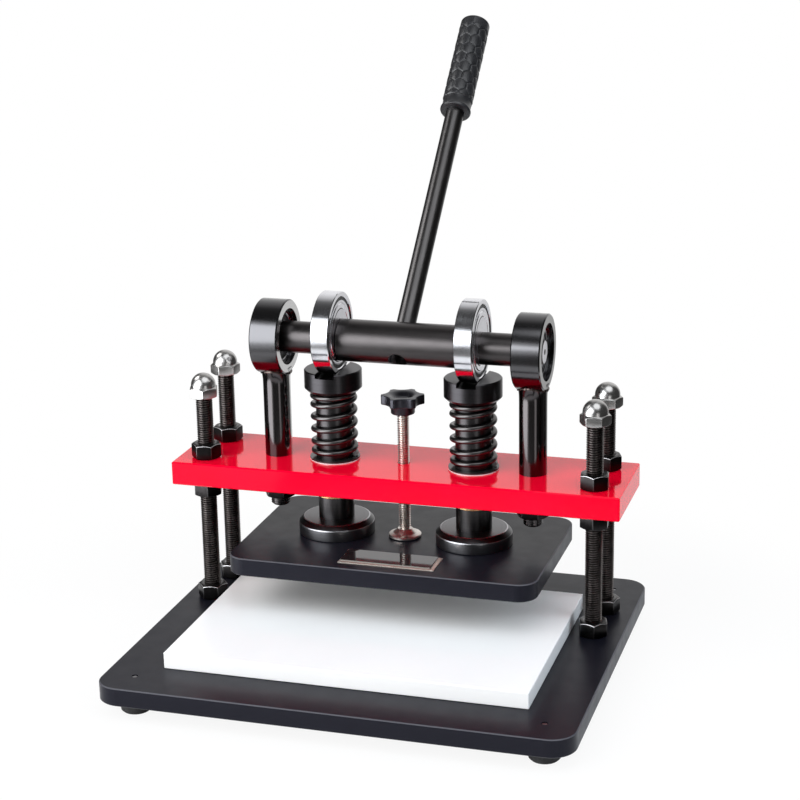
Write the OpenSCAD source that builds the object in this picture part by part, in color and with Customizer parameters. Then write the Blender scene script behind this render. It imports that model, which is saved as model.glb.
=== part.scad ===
// Manual die cutting machine: a lever turns an eccentric shaft, its two rollers push two sprung plungers
// down, and the plungers carry a press plate that drives a cutting die into a board on the base plate.
// Origin on the standing surface, midway between the outermost points in X and Y. X runs along the
// crossbeam to the right, Y runs to the back, Z is up. Millimetres and degrees.

/* [Base] */
// Length of the base plate along the crossbeam
base_l = 380; // [370:5:440]
// Depth of the base plate, front to back
base_d = 320; // [290:5:360]
// Thickness of the base plate
base_t = 15; // [12:0.5:20]
// Corner radius of the base plate
base_corner_r = 20; // [12:1:30]
// Chamfer on the edges of the base plate
base_chamfer = 0.8; // [0.4:0.1:2]
// How far the middle of the base plate lies in front of the press axis
base_forward = 60; // [40:1:70]
// Diameter of a rubber foot at its top
foot_d = 26; // [22:1:32]
// Height of a rubber foot
foot_h = 13; // [9:0.5:18]
// Distance of a foot's centre from the base plate's edges
foot_inset = 26; // [20:1:34]
// How much a foot's radius shrinks towards the floor
foot_taper = 0.8; // [0:0.1:2]
// Depth of the recess that hides a foot screw's head
foot_recess_h = 6; // [5:0.5:7]
// Thread diameter of a foot screw
foot_screw_d = 5; // [4:0.5:6]
// Diameter of a foot screw's head
foot_head_d = 9; // [8:0.5:11]
// Height of a foot screw's head
foot_head_h = 3; // [2:0.5:4]

/* [Cutting board] */
// Length of the board
board_l = 295; // [240:1:300]
// Depth of the board
board_d = 200; // [160:1:220]
// Thickness of the board
board_t = 13.5; // [8:0.5:20]
// How far the middle of the board lies in front of the base plate's middle
board_forward = 15; // [5:1:40]
// Chamfer on the board's edges
board_chamfer = 0.6; // [0.3:0.1:1.5]

/* [Columns and nuts] */
// Thread diameter of the columns
column_d = 14; // [12:1:16]
// Height from the base plate's top to the cap nuts
column_h = 179; // [165:1:240]
// How far the back left column stands above the other three
back_left_rise = 6.5; // [0:0.5:12]
// Distance between the columns along the crossbeam
column_span_x = 332; // [328:1:340]
// Distance between the columns, front to back
column_span_y = 50; // [44:1:54]
// Width of the column nuts across the flats
nut_af = 22; // [19:1:24]
// Height of a column nut
nut_h = 12.8; // [10:0.2:14]
// Height of a cap nut
cap_nut_h = 20.5; // [18:0.5:26]
// Height of a cap nut's hexagon
cap_nut_hex_h = 9; // [7:0.5:11]

/* [Crossbeam] */
// Length of the crossbeam
beam_l = 380; // [370:5:420]
// Depth of the crossbeam, front to back
beam_d = 90; // [84:1:110]
// Thickness of the crossbeam
beam_t = 20; // [16:0.5:26]
// Height of the crossbeam's underside above the base plate
beam_lift = 106; // [100:1:112]
// Chamfer on the crossbeam's edges
beam_chamfer = 1; // [0.5:0.1:2]

/* [Eye posts] */
// Distance between the eye posts
post_span = 220; // [214:1:240]
// Diameter of a post
post_d = 23; // [20:0.5:24]
// Diameter of the threaded stud below a post
stud_d = 16; // [12:1:18]
// How far the stud reaches below its nut
stud_tail = 7.5; // [4:0.5:10]
// Chamfer on the stud's end
stud_chamfer = 1.5; // [0.5:0.1:2.5]
// Width of a stud nut across the flats
stud_nut_af = 24; // [22:1:27]
// Height of a stud nut
stud_nut_h = 14.8; // [12:0.2:16]
// Outer diameter of a stud washer
stud_washer_d = 30; // [28:1:34]
// Thickness of a stud washer
stud_washer_t = 2.7; // [2:0.1:4]
// Outer diameter of an eye ring
ring_d = 62; // [58:1:68]
// Width of an eye ring along the shaft
ring_w = 24; // [22:1:28]
// Chamfer on an eye ring's rims
ring_chamfer = 1; // [0.5:0.1:1.5]
// Height of the weld bead between a ring and its post
weld_h = 4; // [2:0.5:6]
// How far the weld bead stands out of the post
weld_out = 1.5; // [0.5:0.1:2.5]
// Height of the shaft's axis above the crossbeam
shaft_lift = 102.5; // [98:0.5:130]

/* [Shaft bearings] */
// Bore of the bearings in the eye rings
eye_bearing_bore = 20; // [18:1:22]
// Outer diameter of the bearings in the eye rings
eye_bearing_d = 47; // [45:1:50]
// Width of the bearings in the eye rings
eye_bearing_w = 14; // [12:1:16]
// Ball diameter of the bearings in the eye rings
eye_ball_d = 7.9; // [7:0.1:8.5]
// Balls in a bearing of the eye rings
eye_ball_count = 8; // [6:1:9]

/* [Cam shaft] */
// Diameter of the shaft between the rollers
shaft_mid_d = 35; // [32:1:37]
// Diameter of the shaft between a roller and an eye ring
shaft_journal_d = 26.5; // [24:0.5:26.5]
// Offset of the eccentric lobes from the shaft's axis
cam_offset = 6; // [5:0.1:6.4]
// How far the shaft's ends stand out of their bearings
shaft_tail = 2.5; // [1:0.5:4]
// Chamfer on the shaft's edges
shaft_chamfer = 0.8; // [0.3:0.1:1.2]
// Diameter of the centre holes in the shaft's ends
centre_hole_d = 5; // [3:0.5:8]

/* [Rollers] */
// Distance between the two rollers and between the two plungers
plunger_span = 120; // [112:1:126]
// Bore of a roller bearing, which fits its lobe
roller_bore = 40; // [39:1:42]
// Outer diameter of a roller bearing
roller_d = 68; // [66:1:72]
// Width of a roller bearing
roller_w = 15; // [13:1:17]
// Ball diameter of a roller bearing
roller_ball_d = 7.9; // [7:0.1:8.2]
// Balls in a roller bearing
roller_ball_count = 12; // [9:1:14]

/* [Lever] */
// Angle of the lever behind the vertical at rest
lever_lean = 46.5; // [30:0.5:55]
// Length of the lever from the shaft's axis to the tip of the grip
lever_l = 337; // [300:1:420]
// Diameter of the lever rod
lever_d = 16; // [14:0.5:18]
// How far the lever rod reaches past the shaft's axis
lever_root = 8.5; // [4:0.5:12]
// Length of the hand grip
grip_l = 100; // [80:1:130]
// Diameter of the hand grip
grip_d = 26; // [22:0.5:32]
// Thickness of rubber over the end of the lever rod
grip_end = 6; // [3:0.5:10]
// Height of the collar at the foot of the grip
grip_collar_h = 9; // [6:0.5:14]
// How far the collar stands out of the grip
grip_collar_out = 0.8; // [0.3:0.1:2]
// Radius of the grip's tip
grip_tip_r = 4; // [2:0.5:8]

/* [Plungers] */
// Diameter of the plunger rods
rod_d = 30; // [26:0.5:32]
// Wall of the guide bushes
bush_wall = 2; // [1.5:0.5:4]
// How far the guide bushes reach below the crossbeam
bush_tail = 10.5; // [8:0.5:20]
// Diameter of the plunger caps
cap_d = 48; // [46:1:52]
// Height of the plunger caps
cap_h = 18; // [17:0.5:24]
// Chamfer around the lower rim of a plunger cap
cap_chamfer = 2.5; // [1:0.1:2.8]
// Depth of the slot that a roller runs in
slot_depth = 3.5; // [2:0.1:5]
// How far a plunger rod reaches into its cap
rod_in_cap = 10; // [6:0.5:12]
// Diameter of the plunger flanges
flange_d = 64; // [56:1:72]
// Height of the plunger flanges
flange_h = 13.8; // [10:0.2:18]
// Width of the chamfer around a plunger flange's top
flange_chamfer = 4; // [2:0.2:6]
// Thread diameter of the bolts that hold the plungers to the press plate
plunger_bolt_d = 10; // [8:1:12]
// How far the bolts reach into the plunger rods
plunger_bolt_in = 26; // [15:1:40]

/* [Press plate] */
// Length of the press plate
plate_l = 260; // [230:1:300]
// Depth of the press plate, front to back
plate_d = 160; // [130:1:180]
// Thickness of the press plate
plate_t = 15; // [12:0.5:20]
// Corner radius of the press plate
plate_corner_r = 16; // [10:1:24]
// Chamfer on the press plate's edges
plate_chamfer = 0.8; // [0.4:0.1:2]
// How far the middle of the press plate lies in front of the plungers
plate_forward = 4; // [0:0.5:10]
// Open height between the board and the press plate at rest
die_gap = 32.5; // [24:0.5:36]

/* [Return springs] */
// Wire diameter of a return spring
wire_d = 4.5; // [3.5:0.1:5]
// Open turns of a return spring
open_turns = 4; // [3:0.5:5]
// Closed turns at each end of a return spring
closed_turns = 1; // [0.5:0.25:1.25]
// Thickness of the washer under a return spring
seat_t = 2; // [1:0.1:3]
// How far that washer stands out of the spring
seat_rim = 1; // [0.5:0.1:3]

/* [Height stop] */
// Thread diameter of the stop screw
stop_d = 10; // [8:1:12]
// Diameter of the stop screw's end pin
stop_pin_d = 7; // [5:0.5:7.5]
// Length of the end pin inside the swivel foot
stop_pin_l = 4; // [3:0.5:4.5]
// Diameter of the star knob across its lobes
knob_d = 36; // [32:1:42]
// Height of the star knob
knob_h = 16; // [15:0.5:24]
// Height of the star knob's top above the crossbeam
knob_top = 59; // [46:0.5:62]
// Lobes on the star knob
knob_lobes = 6; // [5:1:8]
// Width of a lobe
knob_lobe_d = 11; // [9:0.5:13]
// Height of a lobe
knob_lobe_h = 8; // [6:0.5:10]
// Diameter of the knob's hub
knob_hub_d = 20; // [17:0.5:24]
// Diameter of the dish in the knob's top
knob_dish_d = 22; // [16:0.5:24]
// Depth of the dish in the knob's top
knob_dish_h = 2.5; // [1:0.5:2.5]
// How far the screw reaches into the knob
knob_socket = 12; // [8:0.5:12]
// Diameter of the swivel foot under the stop screw
stop_foot_d = 27.5; // [24:0.5:32]
// Height of the swivel foot
stop_foot_h = 7; // [6:0.5:9]
// Thickness of the swivel foot's rim
stop_foot_rim = 2.5; // [1.5:0.1:3.5]

/* [Clearances] */
// Radial gap between pieces that are pressed or screwed together
seat_gap = 0.02; // [0.01:0.01:0.05]
// Radial gap of a running fit
run_gap = 0.05; // [0.02:0.01:0.1]
// Gap between moving pieces that only pass or meet each other
free_gap = 0.3; // [0.2:0.05:0.5]
// Radial gap of the crossbeam's holes round the columns
column_gap = 0.5; // [0.3:0.1:1]
// Gap at each side of a roller in its slot
slot_gap = 0.75; // [0.3:0.05:1.5]
// Gap between a return spring and its rod
spring_rod_gap = 0.5; // [0.3:0.1:1]
// Gap between the closed turns of a return spring
turn_gap = 0.5; // [0.45:0.05:0.8]

/* [Hidden] */
$fn = 64;

// Heights above the standing surface
base_top = foot_h + base_t;
board_top = base_top + board_t;
plate_bottom = board_top + die_gap;
plate_top = plate_bottom + plate_t;
beam_bottom = base_top + beam_lift;
beam_top = beam_bottom + beam_t;
cap_nut_z = base_top + column_h;
shaft_z = beam_top + shaft_lift;
roller_z = shaft_z + cam_offset;
slot_floor = roller_z - roller_d / 2 - free_gap;
cap_top = slot_floor + slot_depth;
cap_bottom = cap_top - cap_h;
rod_top = cap_bottom + rod_in_cap;
stop_foot_z = plate_top + free_gap;
stop_screw_z = stop_foot_z + stop_foot_h + free_gap;
knob_z = beam_top + knob_top - knob_h;

// The press axis stands where the lever's tip and the base plate's front are equally far from the origin
base_front = base_forward + base_d / 2;
lever_back = lever_l * sin(lever_lean) + grip_d / 2 * cos(lever_lean);
press_y = (base_front - lever_back) / 2;
base_y = press_y - base_forward;
board_y = base_y - board_forward;
plate_y = press_y - plate_forward;

// Places across the machine
column_x = column_span_x / 2;
column_y = column_span_y / 2;
post_x = post_span / 2;
plunger_x = plunger_span / 2;
foot_x = base_l / 2 - foot_inset;
foot_y = base_d / 2 - foot_inset;
shaft_stub_x = post_x - eye_bearing_w / 2;
shaft_end_x = post_x + eye_bearing_w / 2 + shaft_tail;

// Turn of each nut as it was tightened: front left, back left, front right, back right
base_nut_turns = [11, 58, 45, 16];
lower_nut_turns = [50, 20, 36, 40];
upper_nut_turns = [11, 26, 37, 54];
cap_nut_turns = [49, 25, 5, 11];
column_rises = [0, back_left_rise, 0, 0];

// Small details: chamfers, drill depths and thread ends
cut_over = 1;
nut_bevel = 0.5;
dome_in = 0.7;
column_past_hex = 1.5;
column_in_cap = cap_nut_hex_h + column_past_hex;
column_chamfer = 1;
foot_edge = 1.5;
foot_head_gap = 1.5;
foot_tip_in = 0.6;
race_chamfer = 0.6;
race_shoulder = 0.34;
seal_t = 1;
seal_in = 0.8;
lobe_chamfer = 0.5;
rod_chamfer = 0.8;
cap_rim = 0.8;
bolt_head_in = 0.5;
bolt_end_gap = 2;
screw_chamfer = 0.8;
knob_edge = 1;
stop_boss_wall = 1;
stop_foot_edge = 0.6;
stop_foot_slope = 1;

// Return spring, wound round its plunger rod between the seat washer and the plunger cap
spring_r = rod_d / 2 + spring_rod_gap + wire_d / 2;
seat_d = 2 * spring_r + wire_d + 2 * seat_rim;
spring_z = beam_top + seat_t + free_gap;
spring_h = cap_bottom - free_gap - spring_z;
closed_pitch = wire_d + turn_gap;
open_pitch = (spring_h - wire_d - 2 * closed_turns * closed_pitch) / open_turns;
spring_turns = open_turns + 2 * closed_turns;
spring_steps = 24;
spring_rings = round(spring_turns * spring_steps);
spring_sides = 6;

coat_black = "#26262a";
oxide_black = "#1c1a19";
chrome = "#d8d8dc";
steel = "#9a9a9e";
nickel = "#c0b4a8";
rubber = "#151515";

// Outline of a rectangle with its corners cut off
function cut_rectangle(w, h, c) = [
    [-w / 2, -h / 2 + c], [-w / 2 + c, -h / 2], [w / 2 - c, -h / 2], [w / 2, -h / 2 + c],
    [w / 2, h / 2 - c], [w / 2 - c, h / 2], [-w / 2 + c, h / 2], [-w / 2, h / 2 - c]
];

// Half outline of a disc with both rims chamfered, for turning about Z
function disc_half(r, h, c) = [[0, 0], [r - c, 0], [r, c], [r, h - c], [r - c, h], [0, h]];

// Round bar with both ends chamfered, standing on Z = 0
module bar(d, h, c) {
    rotate_extrude() polygon(disc_half(d / 2, h, c));
}

// Flat plate with round corners and chamfered edges, standing on Z = 0
module rounded_plate(l, d, t, r, c) {
    translate([0, 0, t / 2]) rotate([90, 0, 90])
        linear_extrude(l - 2 * r, center = true) polygon(cut_rectangle(d, t, c));
    translate([0, 0, t / 2]) rotate([90, 0, 0])
        linear_extrude(d - 2 * r, center = true) polygon(cut_rectangle(l, t, c));
    for (sx = [-1, 1], sy = [-1, 1])
        translate([sx * (l / 2 - r), sy * (d / 2 - r), 0]) bar(2 * r, t, c);
}

// Box with all its edges chamfered, standing on Z = 0
module chamfered_box(l, d, t, c) {
    translate([0, 0, t / 2]) intersection() {
        linear_extrude(t, center = true) polygon(cut_rectangle(l, d, c));
        rotate([90, 0, 0]) linear_extrude(d, center = true) polygon(cut_rectangle(l, t, c));
        rotate([90, 0, 90]) linear_extrude(l, center = true) polygon(cut_rectangle(d, t, c));
    }
}

// Round hole between two heights
module hole(d, z0, z1) {
    translate([0, 0, z0]) cylinder(h = z1 - z0, d = d);
}

// Hexagon with its corners bevelled as on a nut, one corner towards the given turn
module nut_body(af, h, turn) {
    corner_r = af / 2 / cos(30);
    bevel_r = corner_r + cut_over;
    bevel_h = (bevel_r - af / 2 + nut_bevel) * tan(30);
    intersection() {
        rotate([0, 0, turn]) cylinder(h = h, r = corner_r, $fn = 6);
        rotate_extrude() polygon([
            [0, 0], [af / 2 - nut_bevel, 0], [bevel_r, bevel_h], [bevel_r, h - bevel_h],
            [af / 2 - nut_bevel, h], [0, h]
        ]);
    }
}

module nut(af, h, bore, turn) {
    difference() {
        nut_body(af, h, turn);
        hole(bore, -cut_over, h + cut_over);
    }
}

module washer(d, t, bore) {
    difference() {
        cylinder(h = t, d = d);
        hole(bore, -cut_over, t + cut_over);
    }
}

// Ring of a bearing race with a round groove for the balls, centred on the origin with its axis along X
module race(r_in, r_out, w, groove_r, ball_r) {
    rotate([0, 90, 0]) difference() {
        rotate_extrude() translate([(r_in + r_out) / 2, 0])
            polygon(cut_rectangle(r_out - r_in, w, race_chamfer));
        rotate_extrude() translate([groove_r, 0]) circle(r = ball_r);
    }
}

// The races, balls and seals of a bearing follow from its bore, outer diameter, width and ball diameter
function pitch_r(bore, d) = (bore + d) / 4;
function inner_race_r(bore, d, ball) = pitch_r(bore, d) - ball * race_shoulder;
function outer_race_r(bore, d, ball) = pitch_r(bore, d) + ball * race_shoulder;

module inner_race(bore, d, w, ball) {
    race(bore / 2 + seat_gap, inner_race_r(bore, d, ball), w, pitch_r(bore, d), ball / 2 + run_gap);
}

module outer_race(bore, d, w, ball) {
    race(outer_race_r(bore, d, ball), d / 2, w, pitch_r(bore, d), ball / 2 + run_gap);
}

module balls(bore, d, ball, count) {
    for (i = [0:count - 1])
        rotate([i * 360 / count, 0, 0]) translate([0, 0, pitch_r(bore, d)]) sphere(d = ball);
}

// Two rubber seals, held in the outer race and just clear of the inner one
module seals(bore, d, w, ball) {
    for (side = [-1, 1])
        translate([side * (w / 2 - seal_in - seal_t / 2), 0, 0]) rotate([0, 90, 0])
            translate([0, 0, -seal_t / 2]) washer(
                2 * (outer_race_r(bore, d, ball) - seat_gap), seal_t,
                2 * (inner_race_r(bore, d, ball) + free_gap)
            );
}

// Puts its children at each of the four columns
module at_columns() {
    for (sx = [-1, 1], sy = [-1, 1])
        translate([sx * column_x, press_y + sy * column_y, 0]) children();
}

// Four column nuts with their undersides at one height, each at its own turn
module column_nuts(z, bore, turns) {
    for (i = [0:3])
        translate([(i < 2 ? -1 : 1) * column_x, press_y + (i % 2 == 0 ? -1 : 1) * column_y, z])
            nut(nut_af, nut_h, bore, turns[i]);
}

// Puts its children at each of the four feet
module at_feet() {
    for (sx = [-1, 1], sy = [-1, 1])
        translate([sx * foot_x, base_y + sy * foot_y, 0]) children();
}

// Puts its children on the press axis, offset along the crossbeam
module at_press(x) {
    translate([x, press_y, 0]) children();
}

// Puts its children on the shaft's axis
module at_shaft(x) {
    translate([x, press_y, shaft_z]) children();
}

// Puts its children on the axis of the eccentric lobes
module at_lobe(x) {
    translate([x, press_y, roller_z]) children();
}

// Puts its children on the lever, with Z along the lever and the shaft's axis at Z = 0
module at_lever() {
    at_shaft(0) rotate([-lever_lean, 0, 0]) children();
}

module base_plate() {
    color(coat_black) difference() {
        translate([0, base_y, foot_h])
            rounded_plate(base_l, base_d, base_t, base_corner_r, base_chamfer);
        at_columns() hole(column_d + 2 * seat_gap, foot_h - cut_over, base_top + cut_over);
        at_feet() hole(foot_screw_d + 2 * seat_gap, foot_h - cut_over, base_top + cut_over);
    }
}

// A foot tapers downwards and hides its screw's head in a recess
module rubber_feet() {
    r = foot_d / 2;
    color(rubber) at_feet() difference() {
        rotate_extrude() polygon([
            [0, 0], [r - foot_taper - foot_edge, 0], [r - foot_taper, foot_edge], [r, foot_h], [0, foot_h]
        ]);
        hole(foot_head_d + 2 * foot_head_gap, -cut_over, foot_recess_h);
        hole(foot_screw_d + 2 * seat_gap, 0, foot_h + cut_over);
    }
}

// A foot screw's tip ends a little below the base plate's top
module foot_screws() {
    color(steel) at_feet() {
        hole(foot_head_d, foot_recess_h - foot_head_h, foot_recess_h);
        hole(foot_screw_d, foot_recess_h - foot_head_h / 2, base_top - foot_tip_in);
    }
}

module cutting_board() {
    color("white") translate([0, board_y, base_top])
        chamfered_box(board_l, board_d, board_t, board_chamfer);
}

// A column stands in the base plate and ends inside its cap nut
module column(sx, sy, rise = 0) {
    color(oxide_black) translate([sx * column_x, press_y + sy * column_y, foot_h])
        bar(column_d, base_t + column_h + rise + column_in_cap, column_chamfer);
}

module column_front_left() { column(-1, -1); }
module column_front_right() { column(1, -1); }
module column_back_left() { column(-1, 1, back_left_rise); }
module column_back_right() { column(1, 1); }

module base_nuts() {
    color(oxide_black) column_nuts(base_top, column_d + 2 * seat_gap, base_nut_turns);
}

// A cap nut is a hexagon with a dome on it, drilled from below
module cap_nut(turn) {
    dome_r = nut_af / 2 - dome_in;
    difference() {
        union() {
            nut_body(nut_af, cap_nut_hex_h, turn);
            translate([0, 0, cap_nut_hex_h / 2]) rotate_extrude() intersection() {
                translate([0, cap_nut_h - dome_r - cap_nut_hex_h / 2]) circle(r = dome_r);
                square(cap_nut_h);
            }
        }
        hole(column_d + 2 * seat_gap, -cut_over, column_in_cap + free_gap);
    }
}

module cap_nuts() {
    color(chrome) for (i = [0:3])
        translate([(i < 2 ? -1 : 1) * column_x, press_y + (i % 2 == 0 ? -1 : 1) * column_y,
                   cap_nut_z + column_rises[i]])
            cap_nut(cap_nut_turns[i]);
}

module crossbeam() {
    z0 = beam_bottom - cut_over;
    z1 = beam_top + cut_over;
    color("#e00018") difference() {
        at_press(0) translate([0, 0, beam_bottom]) chamfered_box(beam_l, beam_d, beam_t, beam_chamfer);
        at_columns() hole(column_d + 2 * column_gap, z0, z1);
        for (sx = [-1, 1]) {
            at_press(sx * post_x) hole(stud_d + 2 * seat_gap, z0, z1);
            at_press(sx * plunger_x) hole(rod_d + 2 * bush_wall + 2 * seat_gap, z0, z1);
        }
        at_press(0) hole(stop_d + 2 * free_gap, z0, z1);
    }
}

module beam_lower_nuts() {
    color(oxide_black) column_nuts(beam_bottom - nut_h, column_d + 2 * free_gap, lower_nut_turns);
}

module beam_upper_nuts() {
    color(oxide_black) column_nuts(beam_top, column_d + 2 * free_gap, upper_nut_turns);
}

// Ring, post and stud of an eye post are welded into one piece, with a bead round the neck
module eye_post(sx) {
    r = ring_d / 2;
    neck_z = shaft_z - sqrt(r * r - post_d * post_d / 4);
    stud_l = beam_t + stud_washer_t + stud_nut_h + stud_tail;
    color(oxide_black) at_press(sx * post_x) difference() {
        union() {
            translate([-ring_w / 2, 0, shaft_z]) rotate([0, 90, 0]) bar(ring_d, ring_w, ring_chamfer);
            hole(post_d, beam_top, shaft_z);
            translate([0, 0, neck_z - weld_h])
                cylinder(h = 1.5 * weld_h, d1 = post_d, d2 = post_d + 2 * weld_out);
            translate([0, 0, beam_top - stud_l]) bar(stud_d, stud_l + 2 * stud_chamfer, stud_chamfer);
        }
        translate([0, 0, shaft_z]) rotate([0, 90, 0])
            hole(eye_bearing_d + 2 * seat_gap, -ring_w, ring_w);
    }
}

module eye_post_left() { eye_post(-1); }
module eye_post_right() { eye_post(1); }

module stud_washers() {
    color(oxide_black) for (sx = [-1, 1])
        at_press(sx * post_x) translate([0, 0, beam_bottom - stud_washer_t])
            washer(stud_washer_d, stud_washer_t, stud_d + 2 * seat_gap);
}

module stud_nuts() {
    color(oxide_black) for (sx = [-1, 1])
        at_press(sx * post_x) translate([0, 0, beam_bottom - stud_washer_t - stud_nut_h])
            nut(stud_nut_af, stud_nut_h, stud_d + 2 * seat_gap, 0);
}

module guide_bush(sx) {
    color("#b07a3c") at_press(sx * plunger_x) translate([0, 0, beam_bottom - bush_tail])
        washer(rod_d + 2 * bush_wall, beam_t + bush_tail, rod_d + 2 * run_gap);
}

module guide_bush_left() { guide_bush(-1); }
module guide_bush_right() { guide_bush(1); }

module spring_seats() {
    color(steel) for (sx = [-1, 1])
        at_press(sx * plunger_x) translate([0, 0, beam_top]) washer(seat_d, seat_t, rod_d + 2 * free_gap);
}

// Height of the wire's middle after a number of turns: closed turns, open turns, closed turns
function wire_z(turn) =
    wire_d / 2
    + closed_pitch * min(turn, closed_turns)
    + open_pitch * max(0, min(turn - closed_turns, open_turns))
    + closed_pitch * max(0, turn - closed_turns - open_turns);

// Points of one ring of the wire, in the plane that holds the spring's axis
function wire_ring(turn) = [
    for (s = [0:spring_sides - 1])
        let (
            around = 90 + s * 360 / spring_sides,
            r = spring_r + wire_d / 2 * cos(around)
        )
        [r * cos(turn * 360), r * sin(turn * 360), wire_z(turn) + wire_d / 2 * sin(around)]
];

spring_points = [for (i = [0:spring_rings]) each wire_ring(i * spring_turns / spring_rings)];
spring_skin = [
    for (i = [0:spring_rings - 1], s = [0:spring_sides - 1])
        let (
            a = i * spring_sides + s,
            b = i * spring_sides + (s + 1) % spring_sides
        )
        each [[a, a + spring_sides, b], [b, a + spring_sides, b + spring_sides]]
];
spring_last = spring_rings * spring_sides;
spring_ends = [
    for (s = [1:spring_sides - 2])
        each [[0, s, s + 1], [spring_last, spring_last + s + 1, spring_last + s]]
];

// Least gap between neighbouring turns of a spring, from point to point of the wire's surface
spring_least_gap = min([
    for (i = [0:spring_rings - spring_steps], s = [0:spring_sides - 1], t = [0:spring_sides - 1])
        norm(spring_points[(i + spring_steps) * spring_sides + t] - spring_points[i * spring_sides + s])
]);
echo(spring_least_gap = spring_least_gap);

module return_spring(sx) {
    color(oxide_black) at_press(sx * plunger_x) translate([0, 0, spring_z])
        polyhedron(points = spring_points, faces = concat(spring_skin, spring_ends));
}

module return_spring_left() { return_spring(-1); }
module return_spring_right() { return_spring(1); }

module eye_outer(sx) {
    color(steel) at_shaft(sx * post_x) outer_race(eye_bearing_bore, eye_bearing_d, eye_bearing_w, eye_ball_d);
}

module eye_inner(sx) {
    color(steel) at_shaft(sx * post_x) inner_race(eye_bearing_bore, eye_bearing_d, eye_bearing_w, eye_ball_d);
}

module eye_bearing_outer_left() { eye_outer(-1); }
module eye_bearing_outer_right() { eye_outer(1); }
module eye_bearing_inner_left() { eye_inner(-1); }
module eye_bearing_inner_right() { eye_inner(1); }

module eye_bearing_balls() {
    color(chrome) for (sx = [-1, 1])
        at_shaft(sx * post_x) balls(eye_bearing_bore, eye_bearing_d, eye_ball_d, eye_ball_count);
}

module eye_bearing_seals() {
    color(rubber) for (sx = [-1, 1])
        at_shaft(sx * post_x) seals(eye_bearing_bore, eye_bearing_d, eye_bearing_w, eye_ball_d);
}

// Stretch of shaft along X, the same length to each side of the place where it is put
module shaft_stretch(d, half_l, c) {
    translate([-half_l, 0, 0]) rotate([0, 90, 0]) bar(d, 2 * half_l, c);
}

module cam_shaft() {
    color(oxide_black) difference() {
        union() {
            at_shaft(0) shaft_stretch(shaft_mid_d, plunger_x - roller_w / 2, shaft_chamfer);
            at_shaft(0) shaft_stretch(shaft_journal_d, shaft_stub_x, shaft_chamfer);
            at_shaft(0) shaft_stretch(eye_bearing_bore, shaft_end_x, shaft_chamfer);
            for (sx = [-1, 1])
                at_lobe(sx * plunger_x) shaft_stretch(roller_bore, roller_w / 2, lobe_chamfer);
        }
        at_lever() hole(lever_d + 2 * seat_gap, -shaft_mid_d, shaft_mid_d);
        for (sx = [-1, 1])
            at_shaft(sx * shaft_end_x) rotate([0, -sx * 90, 0])
                cylinder(h = centre_hole_d, d1 = centre_hole_d, d2 = 0);
    }
}

module lever_rod() {
    color(oxide_black) at_lever() translate([0, 0, -lever_root])
        bar(lever_d, lever_root + lever_l - grip_end, rod_chamfer);
}

// The grip is a moulded sleeve with a collar at its foot, a groove above the collar and a rounded, closed tip
module hand_grip() {
    r = grip_d / 2;
    collar_r = r + grip_collar_out;
    groove_r = r - grip_collar_out;
    color(rubber) at_lever() translate([0, 0, lever_l - grip_l]) difference() {
        rotate_extrude() {
            polygon([
                [0, 0], [collar_r - grip_collar_out, 0], [collar_r, grip_collar_out],
                [collar_r, grip_collar_h - 2 * grip_collar_out], [groove_r, grip_collar_h],
                [groove_r, grip_collar_h + grip_collar_out], [r, grip_collar_h + 2 * grip_collar_out],
                [r, grip_l - grip_tip_r], [r - grip_tip_r, grip_l - grip_tip_r], [r - grip_tip_r, grip_l],
                [0, grip_l]
            ]);
            translate([r - grip_tip_r, grip_l - grip_tip_r]) intersection() {
                circle(r = grip_tip_r);
                square(2 * grip_tip_r);
            }
        }
        hole(lever_d + 2 * seat_gap, -cut_over, grip_l - grip_end);
    }
}

module roller_outer(sx) {
    color(chrome) at_lobe(sx * plunger_x) outer_race(roller_bore, roller_d, roller_w, roller_ball_d);
}

module roller_inner(sx) {
    color(steel) at_lobe(sx * plunger_x) inner_race(roller_bore, roller_d, roller_w, roller_ball_d);
}

module roller_balls(sx) {
    color(chrome) at_lobe(sx * plunger_x) balls(roller_bore, roller_d, roller_ball_d, roller_ball_count);
}

module roller_seals(sx) {
    color(rubber) at_lobe(sx * plunger_x) seals(roller_bore, roller_d, roller_w, roller_ball_d);
}

module roller_outer_left() { roller_outer(-1); }
module roller_outer_right() { roller_outer(1); }
module roller_inner_left() { roller_inner(-1); }
module roller_inner_right() { roller_inner(1); }
module roller_balls_left() { roller_balls(-1); }
module roller_balls_right() { roller_balls(1); }
module roller_seals_left() { roller_seals(-1); }
module roller_seals_right() { roller_seals(1); }

// A plunger rod stands on the press plate and is tapped from below for its bolt
module plunger_rod(sx) {
    color(oxide_black) at_press(sx * plunger_x) difference() {
        translate([0, 0, plate_top]) bar(rod_d, rod_top - plate_top, rod_chamfer);
        hole(plunger_bolt_d + 2 * seat_gap, plate_top - cut_over, plate_top + plunger_bolt_in + bolt_end_gap);
    }
}

// A roller runs in the slot across the cap, and the rod fits into the cap from below
module plunger_cap(sx) {
    r = cap_d / 2;
    slot_w = roller_w + 2 * slot_gap;
    color(oxide_black) at_press(sx * plunger_x) difference() {
        translate([0, 0, cap_bottom]) rotate_extrude() polygon([
            [0, 0], [r - cap_chamfer, 0], [r, cap_chamfer], [r, cap_h - cap_rim], [r - cap_rim, cap_h], [0, cap_h]
        ]);
        translate([-slot_w / 2, -cap_d, slot_floor]) cube([slot_w, 2 * cap_d, 2 * slot_depth]);
        hole(rod_d + 2 * seat_gap, cap_bottom - cut_over, rod_top);
    }
}

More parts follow.
